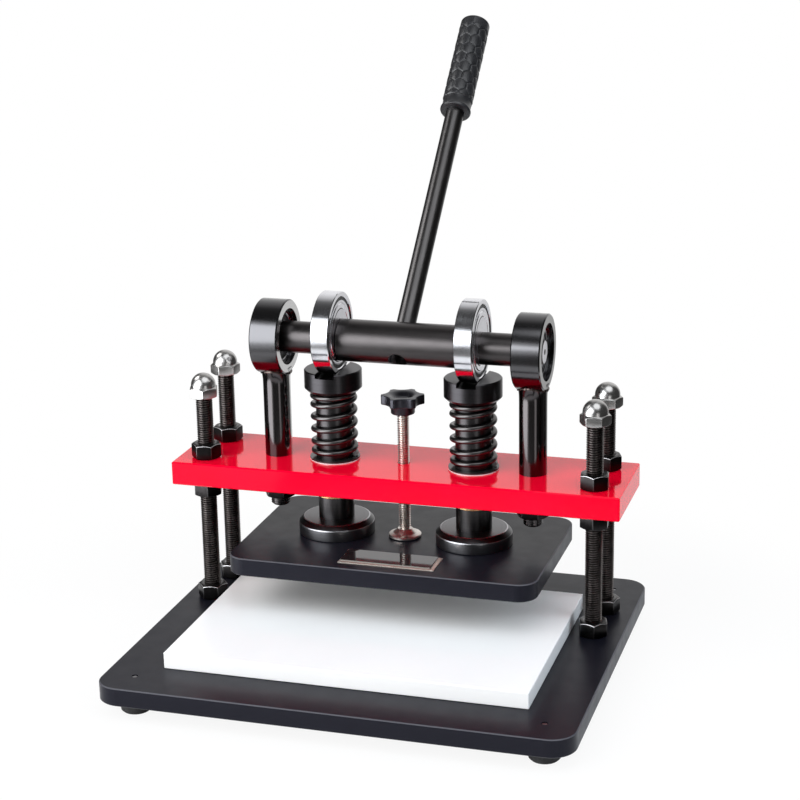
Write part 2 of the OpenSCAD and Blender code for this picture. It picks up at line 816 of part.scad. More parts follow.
module plunger_flange(sx) {
    r = flange_d / 2;
    color(oxide_black) at_press(sx * plunger_x) translate([0, 0, plate_top]) difference() {
        rotate_extrude() polygon([
            [0, 0], [r, 0], [r, flange_h - flange_chamfer], [r - flange_chamfer, flange_h], [0, flange_h]
        ]);
        hole(rod_d + 2 * seat_gap, -cut_over, flange_h + cut_over);
    }
}

module plunger_rod_left() { plunger_rod(-1); }
module plunger_rod_right() { plunger_rod(1); }
module plunger_cap_left() { plunger_cap(-1); }
module plunger_cap_right() { plunger_cap(1); }
module plunger_flange_left() { plunger_flange(-1); }
module plunger_flange_right() { plunger_flange(1); }

// Countersunk bolt pointing up, its head twice as wide as its thread with walls at 45 degrees
module countersunk(d, l, gap) {
    cylinder(h = d / 2, d1 = 2 * d + 2 * gap, d2 = d + 2 * gap);
    cylinder(h = l, d = d + 2 * gap);
}

module press_plate() {
    color(coat_black) difference() {
        translate([0, plate_y, plate_bottom])
            rounded_plate(plate_l, plate_d, plate_t, plate_corner_r, plate_chamfer);
        for (sx = [-1, 1])
            at_press(sx * plunger_x) {
                translate([0, 0, plate_bottom + bolt_head_in]) countersunk(plunger_bolt_d, plate_t, seat_gap);
                hole(2 * (plunger_bolt_d + seat_gap), plate_bottom - cut_over, plate_bottom + bolt_head_in);
            }
    }
}

// Each bolt is turned by a hexagon socket in its head
module plunger_bolts() {
    socket_r = 0.3 * plunger_bolt_d / cos(30);
    color(oxide_black) for (sx = [-1, 1])
        at_press(sx * plunger_x) translate([0, 0, plate_bottom + bolt_head_in]) difference() {
            countersunk(plunger_bolt_d, plate_t - bolt_head_in + plunger_bolt_in, 0);
            translate([0, 0, -cut_over]) cylinder(h = cut_over + plunger_bolt_d / 2, r = socket_r, $fn = 6);
        }
}

// The screw ends in a pin that turns in the swivel foot, and its top is moulded into the knob
module stop_screw() {
    color(nickel) at_press(0) {
        translate([0, 0, stop_screw_z]) bar(stop_d, knob_z + knob_socket - stop_screw_z, screw_chamfer);
        hole(stop_pin_d, stop_screw_z - free_gap - stop_pin_l, stop_screw_z + screw_chamfer);
    }
}

// Round lobes about a disc, on a hub, with a dished top
module star_knob() {
    reach = (knob_d - knob_lobe_d) / 2;
    lobe_z = knob_h - knob_lobe_h;
    hub_r = knob_hub_d / 2;
    color(rubber) at_press(0) translate([0, 0, knob_z]) difference() {
        union() {
            translate([0, 0, lobe_z]) intersection() {
                linear_extrude(knob_lobe_h) {
                    circle(r = reach);
                    for (i = [0:knob_lobes - 1])
                        rotate(i * 360 / knob_lobes) translate([reach, 0]) circle(d = knob_lobe_d);
                }
                bar(knob_d + knob_edge, knob_lobe_h, 1.5 * knob_edge);
            }
            rotate_extrude() polygon([
                [0, 0], [hub_r - knob_edge, 0], [hub_r, knob_edge], [hub_r, lobe_z + knob_edge],
                [0, lobe_z + knob_edge]
            ]);
        }
        translate([0, 0, knob_h - knob_dish_h])
            cylinder(h = 2 * knob_dish_h, d1 = knob_dish_d - 4 * knob_dish_h, d2 = knob_dish_d + 4 * knob_dish_h);
        hole(stop_d + 2 * seat_gap, -cut_over, knob_socket + seat_gap);
    }
}

// Round pad that rises to a boss, drilled for the screw's end pin
module stop_foot() {
    r = stop_foot_d / 2;
    boss_r = stop_d / 2 + stop_boss_wall;
    color(nickel) at_press(0) translate([0, 0, stop_foot_z]) difference() {
        rotate_extrude() polygon([
            [0, 0], [r - stop_foot_edge, 0], [r, stop_foot_edge], [r, stop_foot_rim - stop_foot_edge],
            [r - stop_foot_edge, stop_foot_rim], [(r + boss_r) / 2, stop_foot_rim + stop_foot_slope],
            [boss_r, stop_foot_h], [0, stop_foot_h]
        ]);
        hole(stop_pin_d + 2 * run_gap, stop_foot_h - stop_pin_l - free_gap, stop_foot_h + cut_over);
    }
}

base_plate();
rubber_feet();
foot_screws();
cutting_board();
column_front_left();
column_front_right();
column_back_left();
column_back_right();
base_nuts();
cap_nuts();
crossbeam();
beam_lower_nuts();
beam_upper_nuts();
eye_post_left();
eye_post_right();
stud_washers();
stud_nuts();
guide_bush_left();
guide_bush_right();
spring_seats();
return_spring_left();
return_spring_right();
eye_bearing_outer_left();
eye_bearing_outer_right();
eye_bearing_inner_left();
eye_bearing_inner_right();
eye_bearing_balls();
eye_bearing_seals();
cam_shaft();
lever_rod();
hand_grip();
roller_outer_left();
roller_outer_right();
roller_inner_left();
roller_inner_right();
roller_balls_left();
roller_balls_right();
roller_seals_left();
roller_seals_right();
plunger_rod_left();
plunger_rod_right();
plunger_cap_left();
plunger_cap_right();
plunger_flange_left();
plunger_flange_right();
press_plate();
plunger_bolts();
stop_screw();
star_knob();
stop_foot();
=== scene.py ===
import math

import bmesh
import bpy
from mathutils import Matrix, Vector, noise


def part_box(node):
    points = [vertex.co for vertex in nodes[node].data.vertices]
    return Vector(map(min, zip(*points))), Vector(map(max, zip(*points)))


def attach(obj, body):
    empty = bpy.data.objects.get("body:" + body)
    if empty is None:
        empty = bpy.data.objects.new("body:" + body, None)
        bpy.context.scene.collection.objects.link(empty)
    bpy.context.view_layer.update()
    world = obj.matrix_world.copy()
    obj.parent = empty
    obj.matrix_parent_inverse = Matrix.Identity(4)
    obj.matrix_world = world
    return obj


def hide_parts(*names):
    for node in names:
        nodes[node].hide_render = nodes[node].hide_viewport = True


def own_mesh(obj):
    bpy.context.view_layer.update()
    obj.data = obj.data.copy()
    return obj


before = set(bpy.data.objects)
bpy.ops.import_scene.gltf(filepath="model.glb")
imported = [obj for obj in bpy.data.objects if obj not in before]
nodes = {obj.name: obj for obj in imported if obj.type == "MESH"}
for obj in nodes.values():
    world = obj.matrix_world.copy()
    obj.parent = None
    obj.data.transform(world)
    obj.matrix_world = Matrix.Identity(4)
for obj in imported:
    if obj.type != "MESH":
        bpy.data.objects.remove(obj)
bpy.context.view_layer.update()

# Base plate: a thick steel plate, profiled with round corners and broken edges, then powder coated
# satin black. The columns and the feet are fixed in it, and the press plate has the same coat.
MM = 0.001
GRAIN_LOW, GRAIN_HIGH = 0.3, 0.7


def finish(name, color, roughness, **sockets):
    """A new finish, with what is even over the surface set on the shader. Its grain is linked in after."""
    material = bpy.data.materials.new(name)
    material.use_nodes = True
    inputs = material.node_tree.nodes["Principled BSDF"].inputs
    inputs["Base Color"].default_value = (*color, 1)
    inputs["Roughness"].default_value = roughness
    for socket, value in sockets.items():
        inputs[socket.replace("_", " ")].default_value = value
    return material


def add(material, kind, inputs, **settings):
    """A node of a finish, with each input set or linked."""
    made = material.node_tree.nodes.new("ShaderNode" + kind)
    for key, value in settings.items():
        setattr(made, key, value)
    for key, value in inputs.items():
        if isinstance(value, bpy.types.NodeSocket):
            material.node_tree.links.new(value, made.inputs[key])
        else:
            made.inputs[key].default_value = value
    return made


def to_shader(material, output, socket):
    """Links a node to the finish's shader."""
    shader = material.node_tree.nodes["Principled BSDF"]
    material.node_tree.links.new(output, shader.inputs[socket])


def grain(material, size, stretch=(1, 1, 1), detail=3):
    """Noise with grains of a size in metres, fixed to the piece that wears the finish."""
    place = add(material, "TexCoord", {}).outputs["Object"]
    scaled = add(material, "Mapping", {"Vector": place, "Scale": stretch}).outputs["Vector"]
    return add(material, "TexNoise", {"Vector": scaled, "Scale": 1 / size, "Detail": detail}).outputs["Fac"]


def ramp(material, fac, stops):
    """Colours at places from 0 to 1, each running into the next."""
    made = add(material, "ValToRGB", {"Fac": fac})
    elements = made.color_ramp.elements
    for element, (position, color) in zip(elements, (stops[0], stops[-1])):
        element.position = position
        element.color = (*color, 1)
    for position, color in stops[1:-1]:
        elements.new(position).color = (*color, 1)
    return made.outputs["Color"]


def remap(material, value, low, high, to_low=0.0, to_high=1.0, **settings):
    """A span of a value turned into another span, and held at its ends."""
    span = {"Value": value, "From Min": low, "From Max": high, "To Min": to_low, "To Max": to_high}
    return add(material, "MapRange", span, **settings).outputs["Result"]


def shade(material, fac, dark, light):
    """Lets the colour wander between two shades."""
    to_shader(material, ramp(material, fac, ((GRAIN_LOW, dark), (GRAIN_HIGH, light))), "Base Color")


def polish(material, fac, smooth, rough):
    """Lets the roughness wander between two values."""
    to_shader(material, remap(material, fac, GRAIN_LOW, GRAIN_HIGH, smooth, rough), "Roughness")


def relief(material, height, depth):
    """Raises a pattern a little from the surface."""
    bump = add(material, "Bump", {"Height": height, "Distance": depth, "Strength": 1.0})
    to_shader(material, bump.outputs["Normal"], "Normal")


def facing(material, axis):
    """How far a surface faces along an axis."""
    normal = add(material, "NewGeometry", {}).outputs["True Normal"]
    return add(material, "SeparateXYZ", {"Vector": normal}).outputs[axis]


def paint(material, *names):
    """Gives solids of the frame a finish."""
    for name in names:
        slots = nodes[name].data.materials
        for i in range(len(slots)):
            slots[i] = material


COAT_BLACK, COAT_HIGHLIGHT = (0.006, 0.006, 0.010), (0.07, 0.07, 0.08)
powder_coat = finish("satin_black_powder_coat", (0.007, 0.007, 0.010), 0.2, Specular_IOR_Level=0.17,
                     Specular_Tint=(0.90, 0.90, 1.0, 1))
# The coat's sloped broken edges are painted lighter than its top and sides: a painted highlight along the
# edges.
coat_highlight_stops = ((0.4, COAT_BLACK), (0.45, COAT_HIGHLIGHT), (0.9, COAT_HIGHLIGHT), (0.95, COAT_BLACK))
to_shader(powder_coat, ramp(powder_coat, facing(powder_coat, "Z"), coat_highlight_stops), "Base Color")
polish(powder_coat, grain(powder_coat, 15 * MM), 0.28, 0.36)
relief(powder_coat, grain(powder_coat, 0.7 * MM, detail=2), 0.012 * MM)
paint(powder_coat, "base_plate")

# Rubber feet and their screws: black rubber mouldings, each held by a zinc plated pan head screw that
# goes up through the foot. Its threaded tip shows in the base plate's top.
moulded_rubber = finish("moulded_black_rubber", (0.014, 0.014, 0.015), 0.6, Specular_IOR_Level=0.4)
shade(moulded_rubber, grain(moulded_rubber, 6 * MM), (0.010, 0.010, 0.011), (0.020, 0.020, 0.021))
polish(moulded_rubber, grain(moulded_rubber, 4 * MM), 0.48, 0.66)
relief(moulded_rubber, grain(moulded_rubber, 0.4 * MM), 0.03 * MM)
paint(moulded_rubber, "rubber_feet")

SAME_POINT, SEAM = 0.001 * MM, 0.0005 * MM


def solid_parts(name):
    """Lowest and highest corner of each separate solid in a node of the frame, in order of X, then Y."""
    mesh = bmesh.new()
    mesh.from_mesh(nodes[name].data)
    bmesh.ops.remove_doubles(mesh, verts=mesh.verts, dist=SAME_POINT)
    left, found = set(mesh.verts), []
    while left:
        group, edge = [], [left.pop()]
        while edge:
            vert = edge.pop()
            group.append(vert.co.copy())
            near = {e.other_vert(vert) for e in vert.link_edges} & left
            left -= near
            edge += near
        found.append([Vector(pick(axis) for axis in zip(*group)) for pick in (min, max)])
    mesh.free()
    return sorted(found, key=lambda box: (round(box[0].x, 4), round(box[0].y, 4)))


def middle(box):
    """The middle of a box, seen from above."""
    return (box[0] + box[1]).xy / 2


def circle(r, z, steps):
    """Points of a level circle."""
    angles = [2 * math.pi * i / steps for i in range(steps)]
    return [Vector((r * math.cos(a), r * math.sin(a), z)) for a in angles]


def skin(rings, wrap=False):
    """Faces over a row of rings with equally many points, with its ends filled or joined."""
    n, count = len(rings[0]), len(rings)
    faces = []
    for i in range(count if wrap else count - 1):
        a, b = i * n, (i + 1) % count * n
        faces += [(a + k, a + (k + 1) % n, b + (k + 1) % n, b + k) for k in range(n)]
    if not wrap:
        faces += [tuple(range(n)), tuple(range((count - 1) * n, count * n))]
    return [point for ring in rings for point in ring], faces


def placed(shape, at):
    """A shape moved from the origin to its place."""
    verts, faces = shape
    return [vert + Vector(at) for vert in verts], faces


def joined(shapes):
    """Several shapes as one."""
    verts, faces = [], []
    for more_verts, more_faces in shapes:
        faces += [tuple(len(verts) + k for k in face) for face in more_faces]
        verts += more_verts
    return verts, faces


def piece(name, shape, material, body, stands_for=(), crease=40):
    """A piece of the scene: its mesh with the seams closed, its finish, and the body that it rides on."""
    verts, faces = shape
    mesh = bpy.data.meshes.new(name)
    mesh.from_pydata(verts, [], faces)
    work = bmesh.new()
    work.from_mesh(mesh)
    bmesh.ops.remove_doubles(work, verts=work.verts, dist=SEAM)
    bmesh.ops.dissolve_degenerate(work, edges=work.edges, dist=SEAM)
    bmesh.ops.holes_fill(work, edges=[e for e in work.edges if e.is_boundary])
    bmesh.ops.recalc_face_normals(work, faces=work.faces)
    work.to_mesh(mesh)
    work.free()
    mesh.materials.append(material)
    mesh.shade_smooth()
    mesh.set_sharp_from_angle(angle=math.radians(crease))
    made = bpy.data.objects.new(name, mesh)
    bpy.context.scene.collection.objects.link(made)
    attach(made, body)
    if stands_for:
        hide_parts(*stands_for)
    return made


def threaded_bar(d, pitch, z0, z1, steps=32):
    """A bar with a rolled thread: crest, flank, root and flank of each turn run on into the next turn."""
    depth = 0.6 * pitch
    form = [(0.0, 0.0), (0.15, 0.0), (0.44, depth), (0.7, depth)]
    end_cut = depth + 0.1 * pitch
    turns = math.ceil((z1 - z0) / pitch) + 2
    rows = turns * len(form)
    verts, faces = [], []
    for row in range(rows):
        share, cut = form[row % len(form)]
        for step in range(steps):
            z = z0 + (row // len(form) - 1 + share + step / steps) * pitch
            z = min(max(z, z0), z1)
            r = d / 2 - max(cut, end_cut - (z - z0), end_cut - (z1 - z))
            angle = 2 * math.pi * step / steps
            verts.append(Vector((r * math.cos(angle), r * math.sin(angle), z)))
    for row in range(rows - len(form) - 1):
        for step in range(steps):
            a = row * steps + step
            b = a + 1 if step < steps - 1 else (row + len(form)) * steps
            faces.append((a, b, b + steps, a + steps))
    return verts, faces


zinc_plate = finish("zinc_plate", (0.62, 0.62, 0.64), 0.3, Metallic=1.0)
shade(zinc_plate, grain(zinc_plate, 1.5 * MM), (0.10, 0.10, 0.105), (0.45, 0.45, 0.46))
polish(zinc_plate, grain(zinc_plate, 2 * MM), 0.28, 0.4)
relief(zinc_plate, grain(zinc_plate, 0.5 * MM), 0.01 * MM)

FOOT_SCREW_D, FOOT_SCREW_PITCH, FOOT_HEAD_D, FOOT_HEAD_H = 5 * MM, 0.8 * MM, 9 * MM, 3 * MM
FOOT_SCREW_STEPS, FOOT_HEAD_STEPS = 20, 24


def pan_head(z):
    """A low domed head, seen from below, with a rounded rim."""
    r = FOOT_HEAD_D / 2
    profile = [(r, FOOT_HEAD_H), (r, 0.4 * FOOT_HEAD_H), (0.93 * r, 0.16 * FOOT_HEAD_H), (0.75 * r, 0)]
    profile += [(0.3 * r, 0), (0.26 * r, 0.45 * FOOT_HEAD_H)]
    return skin([circle(ring_r, z + ring_z, FOOT_HEAD_STEPS) for ring_r, ring_z in profile])


screws = []
for box in solid_parts("foot_screws"):
    low, high = box[0].z, box[1].z
    shank_from = low + 0.5 * FOOT_HEAD_H
    shank = threaded_bar(FOOT_SCREW_D, FOOT_SCREW_PITCH, shank_from, high, FOOT_SCREW_STEPS)
    screws.append(placed(joined([pan_head(low), shank]), (*middle(box), 0)))
piece("foot_screws_threaded", joined(screws), zinc_plate, "base", ["foot_screws"])

# Cutting board: a block of white plastic, sawn to size, with a satin skin. It lies loose on the base plate
# under the press, and is pulled out to the front.
board_plastic = finish("white_board_plastic", (0.88, 0.88, 0.88), 0.3, Specular_IOR_Level=0.3)
shade(board_plastic, grain(board_plastic, 60 * MM), (0.872, 0.874, 0.872), (0.892, 0.894, 0.892))
polish(board_plastic, grain(board_plastic, 60 * MM, detail=1), 0.28, 0.34)
paint(board_plastic, "cutting_board")

# Columns: lengths of threaded steel bar, blackened in hot oxide, which leaves a tinge of brown. Each is
# screwed into the base plate and locked there by a nut.
COLUMN_D, COLUMN_PITCH = 14 * MM, 2 * MM
thread_black = finish("oiled_black_thread", (0.085, 0.070, 0.062), 0.32, Metallic=1.0)
shade(thread_black, grain(thread_black, 5 * MM), (0.048, 0.041, 0.039), (0.105, 0.092, 0.088))
polish(thread_black, grain(thread_black, 3 * MM), 0.28, 0.42)
relief(thread_black, grain(thread_black, 0.35 * MM), 0.02 * MM)
for corner in ("front_left", "front_right", "back_left", "back_right"):
    low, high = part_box("column_" + corner)
    bar = placed(threaded_bar(COLUMN_D, COLUMN_PITCH, low.z, high.z), (*middle((low, high)), 0))
    piece("threaded_column_" + corner, bar, thread_black, "base", ["column_" + corner],
          crease=30)

# Column and stud nuts: hexagon nuts with turned bevels, blackened, with a painted highlight along their
# edges. Eight of them clamp the crossbeam, four lock the columns in the base plate, and two hold the eye
# posts from below.
NUT_AF, STUD_NUT_AF, STUD_D = 22 * MM, 24 * MM, 16 * MM
NUT_CORNER_R, NUT_EDGE, NUT_ROOM = 0.6 * MM, 0.28 * MM, 20 * MM
NUT_FACE, NUT_BEVEL, NUT_SINK = 0.45, 0.47, 0.035
NUT_HIGHLIGHT = (0.52, 0.51, 0.52, 1)


def reckon(material, operation, *values):
    """One step of arithmetic."""
    return add(material, "Math", dict(enumerate(values)), operation=operation).outputs[0]


def shade_of(material):
    """The shade that a finish has so far."""
    return material.node_tree.nodes["Principled BSDF"].inputs["Base Color"].links[0].from_socket


nut_black = finish("glossy_black_nut", (0.045, 0.042, 0.042), 0.2, Metallic=1.0)
shade(nut_black, grain(nut_black, 7 * MM), (0.014, 0.013, 0.013), (0.026, 0.024, 0.024))
polish(nut_black, grain(nut_black, 5 * MM), 0.28, 0.36)
# The bevels and the rounded corners are painted bright over the black: a painted highlight along the nuts'
# edges.
nut_points = add(nut_black, "NewGeometry", {}).outputs["Pointiness"]
nut_corner_highlight = remap(nut_black, nut_points, 0.53, 0.6, to_high=0.6)
nut_highlight_stops = ((0.12, (0, 0, 0)), (0.2, (1, 1, 1)), (0.8, (1, 1, 1)), (0.84, (0, 0, 0)))
nut_bevel_highlight = ramp(nut_black, facing(nut_black, "Z"), nut_highlight_stops)
nut_highlight_mask = reckon(nut_black, "MAXIMUM", nut_bevel_highlight, nut_corner_highlight)
nut_highlighted = add(nut_black, "MixRGB", {0: nut_highlight_mask, 1: shade_of(nut_black), 2: NUT_HIGHLIGHT})
to_shader(nut_black, nut_highlighted.outputs["Color"], "Base Color")
relief(nut_black, grain(nut_black, 0.8 * MM), 0.008 * MM)


def hexagon(af, inset=0.0):
    """Outline of a nut with rounded corners, drawn in from the flats by an inset."""
    r = NUT_CORNER_R - inset
    centre_r = (af / 2 - inset - r) / math.cos(math.pi / 6)
    points = []
    for k in range(6):
        corner = k * math.pi / 3
        centre = Vector((centre_r * math.cos(corner), centre_r * math.sin(corner)))
        arc = [corner + math.radians(turn) for turn in (-30, -15, 0, 15, 30)]
        points += [centre + r * Vector((math.cos(a), math.sin(a))) for a in arc]
        ahead = points[-1]
        following = Matrix.Rotation(math.pi / 3, 2) @ points[-5]
        points += [ahead.lerp(following, share) for share in (0.04, 0.2, 0.4, 0.5, 0.6, 0.8, 0.96)]
    return points


def hexagon_wall(af, h):
    """Rings up the outside of a nut: where the bevel meets the flats, both edges are a little round."""
    outline, drawn_in = hexagon(af), hexagon(af, NUT_EDGE)
    bevel_r, slope = NUT_BEVEL * af, math.tan(math.radians(30))
    lift = [slope * max(point.length - bevel_r, 0) for point in outline]

    def ring(points, z_of):
        """An outline with its points' heights worked out from the bevel's lift."""
        return [Vector((*point, z_of(rise))) for point, rise in zip(points, lift)]

    halfway = [0.7 * a + 0.3 * b for a, b in zip(outline, drawn_in)]
    return [
        ring(drawn_in, lambda rise: rise - slope * NUT_EDGE),
        ring(halfway, lambda rise: rise),
        ring(outline, lambda rise: rise + NUT_EDGE),
        ring(outline, lambda rise: h - rise - NUT_EDGE),
        ring(halfway, lambda rise: h - rise),
        ring(drawn_in, lambda rise: h - rise + slope * NUT_EDGE),
    ]


def round_ring(af, r, z):
    """A circle with its points in line with those of a nut's outline."""
    return [Vector((*(point.normalized() * r), z)) for point in hexagon(af)]


def hexagon_nut(af, h, bore_r):
    """A nut with a bore sunk at both ends."""
    face_r, sink = NUT_FACE * af, NUT_SINK * af
    sunk_r = bore_r + sink
    rings = [round_ring(af, bore_r, sink), round_ring(af, sunk_r, 0), round_ring(af, face_r, 0)]
    rings += hexagon_wall(af, h)
    rings += [round_ring(af, face_r, h), round_ring(af, sunk_r, h), round_ring(af, bore_r, h - sink)]
    return skin(rings, wrap=True)


def turned(shape, degrees):
    """A shape turned about the vertical."""
    spin = Matrix.Rotation(math.radians(degrees), 3, "Z")
    return [spin @ vert for vert in shape[0]], shape[1]


def corner_turn(name, box):
    """The turn of a nut in the frame, from its corner furthest out."""
    centre = middle(box)
    reach = [vert.co.xy - centre for vert in nodes[name].data.vertices]
    reach = [r for r in reach if max(abs(r.x), abs(r.y)) < NUT_ROOM]
    far = max(reach, key=lambda r: round(r.length, 6))
    return math.degrees(math.atan2(far.y, far.x)) % 60


for name, body, af, bore_d in (
        ("base_nuts", "base", NUT_AF, COLUMN_D), ("beam_lower_nuts", "beam", NUT_AF, COLUMN_D),
        ("beam_upper_nuts", "beam", NUT_AF, COLUMN_D), ("stud_nuts", "beam", STUD_NUT_AF, STUD_D)):
    nuts = []
    for box in solid_parts(name):
        nut = hexagon_nut(af, box[1].z - box[0].z, bore_d / 2)
        nuts.append(placed(turned(nut, corner_turn(name, box)), (*middle(box), box[0].z)))
    piece("bevelled_" + name, joined(nuts), nut_black, body, [name])

# Cap nuts: closed nuts with a domed top, pressed in steel and bright chrome plated. They are screwed on the
# columns' ends and cover the threads.
CAP_HEX_H, CAP_BORE_DEPTH = 9 * MM, 10.8 * MM
DOME_R, DOME_ROWS, DOME_FROM, DOME_STEP = 10.3 * MM, 16, 6, 5.5
chrome_plate = finish("bright_chrome", (0.47, 0.46, 0.45), 0.28, Metallic=1.0)
polish(chrome_plate, grain(chrome_plate, 12 * MM), 0.275, 0.29)
shade(chrome_plate, grain(chrome_plate, 20 * MM), (0.44, 0.43, 0.42), (0.50, 0.49, 0.48))


def cap_nut(h):
    """A hexagon with a bore from below, and rows of rings over its dome."""
    rings = [round_ring(NUT_AF, COLUMN_D / 2, CAP_BORE_DEPTH), round_ring(NUT_AF, COLUMN_D / 2, 0)]
    rings += [round_ring(NUT_AF, NUT_FACE * NUT_AF, 0)] + hexagon_wall(NUT_AF, CAP_HEX_H)
    rings.append(round_ring(NUT_AF, DOME_R, CAP_HEX_H))
    centre_z = h - DOME_R
    for k in range(DOME_ROWS):
        tilt = math.radians(DOME_FROM + DOME_STEP * k)
        rings.append(round_ring(NUT_AF, DOME_R * math.cos(tilt), centre_z + DOME_R * math.sin(tilt)))
    return skin(rings)


caps = []
for box in solid_parts("cap_nuts"):
    cap = turned(cap_nut(box[1].z - box[0].z), corner_turn("cap_nuts", box))
    caps.append(placed(cap, (*middle(box), box[0].z)))
piece("domed_cap_nuts", joined(caps), chrome_plate, "base", ["cap_nuts"])

# Crossbeam: a bar of flat steel with its edges broken, sprayed with gloss red enamel, in which what stands
# on it is mirrored. The nuts clamp it at its height on the columns.
red_enamel = finish("gloss_red_enamel", (0.86, 0.0008, 0.022), 0.08, Specular_IOR_Level=0.5,
                    Specular_Tint=(1, 0.02, 0.08, 1), Coat_Weight=0.15, Coat_Roughness=0.06)
shade(red_enamel, grain(red_enamel, 70 * MM), (0.84, 0.0006, 0.019), (0.88, 0.0010, 0.025))
polish(red_enamel, grain(red_enamel, 25 * MM), 0.05, 0.10)
relief(red_enamel, grain(red_enamel, 5 * MM, detail=1), 0.004 * MM)
paint(red_enamel, "crossbeam")

# Eye posts: a turned ring on a round post, welded round the neck by hand and blackened, with the ring's
# faces cut bright. Painted light makes the left ring's faces lighter, and painted shade the right ring's
# darker. A stud below each post goes through the crossbeam, to a washer and nut under it.
TOOL_LINE, TOOL_DEPTH, GLOSS_GRAIN = 1.6 * MM, 0.003 * MM, 9 * MM


def places(material):
    """Places in the machine's frame, as separate X, Y and Z."""
    return add(material, "SeparateXYZ", {"Vector": add(material, "TexCoord", {}).outputs["Object"]}).outputs


def about_axis(material, axis, centre):
    """Place along an axis and distance from it, the same on the left and the right side of the machine."""
    parts = places(material)
    side = reckon(material, "SUBTRACT", reckon(material, "ABSOLUTE", parts["X"]), centre[0])
    back = reckon(material, "SUBTRACT", parts["Y"], centre[1])
    rise = reckon(material, "SUBTRACT", parts["Z"], centre[2])
    along, other = (side, rise) if axis == "X" else (rise, side)
    flat = add(material, "CombineXYZ", {"X": back, "Y": other})
    return along, add(material, "VectorMath", {0: flat.outputs[0]}, operation="LENGTH").outputs["Value"]


def tool_lines(material, axis, centre):
    """The fine lines that the lathe's tool leaves round an axis, in relief."""
    along, radius = about_axis(material, axis, centre)
    lines = add(material, "CombineXYZ", {"X": along, "Y": radius})
    scale = {"Vector": lines.outputs[0], "Scale": 1 / TOOL_LINE, "Detail": 5, "Roughness": 0.6}
    marks = add(material, "TexNoise", scale).outputs["Fac"]
    relief(material, marks, TOOL_DEPTH)
    return marks


def turned_metal(name, axis, centre, dark, light, smooth, rough):
    """Turned metal, with the tool's lines in its shade too."""
    material = finish(name, light, rough, Metallic=1.0)
    shade(material, tool_lines(material, axis, centre), dark, light)
    polish(material, grain(material, GLOSS_GRAIN), smooth, rough)
    return material


def faced(material):
    """How far a surface is a face across the shaft's axis, cut bright by the lathe."""
    return remap(material, reckon(material, "ABSOLUTE", facing(material, "X")), 0.8, 0.95)


ring_low, ring_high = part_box("eye_bearing_outer_right")
SHAFT_Y, SHAFT_Z = (ring_low.y + ring_high.y) / 2, (ring_low.z + ring_high.z) / 2
post_low, post_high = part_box("eye_post_right")
POST_X = (post_low.x + post_high.x) / 2
POST_R, RING_R = 11.5 * MM, 31 * MM
EYE = (POST_X, SHAFT_Y, SHAFT_Z)
RING_BLACK, POST_BLACK = (0.115, 0.115, 0.120), (0.066, 0.060, 0.061)
LIT_LEFT_FACE, SHADED_RIGHT_FACE = 0.72, 0.22
post_black = finish("blackened_eye_post", (0.055, 0.048, 0.048), 0.18, Metallic=1.0)
tool_lines(post_black, "X", EYE)
ring_end, post_start = RING_R - 1 * MM, RING_R + 2.5 * MM
post_share = remap(post_black, about_axis(post_black, "X", EYE)[1], ring_end, post_start)
to_shader(post_black, remap(post_black, post_share, 0, 1, 0.19, 0.14), "Roughness")
ring_or_post = ramp(post_black, post_share, ((0, RING_BLACK), (1, POST_BLACK)))
# The left ring's cut faces are painted lighter and the right ring's darker: painted light and shade.
painted_face_light = remap(post_black, places(post_black)["X"], -POST_X, POST_X, LIT_LEFT_FACE, SHADED_RIGHT_FACE)
ring_face = add(post_black, "MixRGB", {0: faced(post_black), 1: ring_or_post, 2: painted_face_light})
to_shader(post_black, ring_face.outputs["Color"], "Base Color")
paint(post_black, "eye_post_left", "eye_post_right", "stud_washers")

BEAD_R, BEAD_RIPPLES, BEAD_STEPS, BEAD_SIDES = 1.0 * MM, 26, 156, 10
BEAD_OUT, BEAD_DOWN, BEAD_LEAN, BEAD_WANDER, BEAD_IN = 0.8, 1.5, 0.35, 5, 0.1 * MM
BEAD_EVEN, BEAD_RIPPLED, BEAD_UNEVEN = 0.8, 0.15, 0.5
NECK_H, NECK_SIDE, NECK_BACK, NECK_ROWS, NECK_STEPS = 10 * MM, 0.6 * MM, 3.0 * MM, 12, 72
NECK_PROUD, NECK_CURVE, NECK_IN = 0.03 * MM, 2.5, 0.6 * MM
weld_brown = finish("weld_bead", (0.10, 0.080, 0.066), 0.4, Metallic=1.0)
shade(weld_brown, grain(weld_brown, 3 * MM), (0.05, 0.038, 0.034), (0.12, 0.095, 0.085))
polish(weld_brown, grain(weld_brown, 1.5 * MM), 0.22, 0.45)
relief(weld_brown, grain(weld_brown, 0.6 * MM), 0.05 * MM)


def weld_bead(seed):
    """A flat, rippled bead round the line where the post meets the ring."""
    rings = []
    for i in range(BEAD_STEPS):
        turn = 2 * math.pi * i / BEAD_STEPS
        out = Vector((math.cos(turn), math.sin(turn), 0))
        foot = Vector(((POST_R + NECK_SIDE) * out.x, (POST_R + NECK_BACK) * out.y, 0))
        foot.z = -math.sqrt(RING_R ** 2 - foot.y ** 2) + BEAD_IN
        ripple = abs(math.sin(BEAD_RIPPLES * turn / 2))
        wander = noise.noise(Vector((*(BEAD_WANDER * out.xy), seed)))
        r = BEAD_R * (BEAD_EVEN + BEAD_RIPPLED * ripple + BEAD_UNEVEN * wander)
        down = Vector((*(BEAD_LEAN * out.xy), -1)).normalized()
        rings.append([foot + r * (BEAD_OUT * math.cos(a) * out + BEAD_DOWN * math.sin(a) * down)
                      for a in (2 * math.pi * k / BEAD_SIDES for k in range(BEAD_SIDES))])
    return skin(rings, wrap=True)


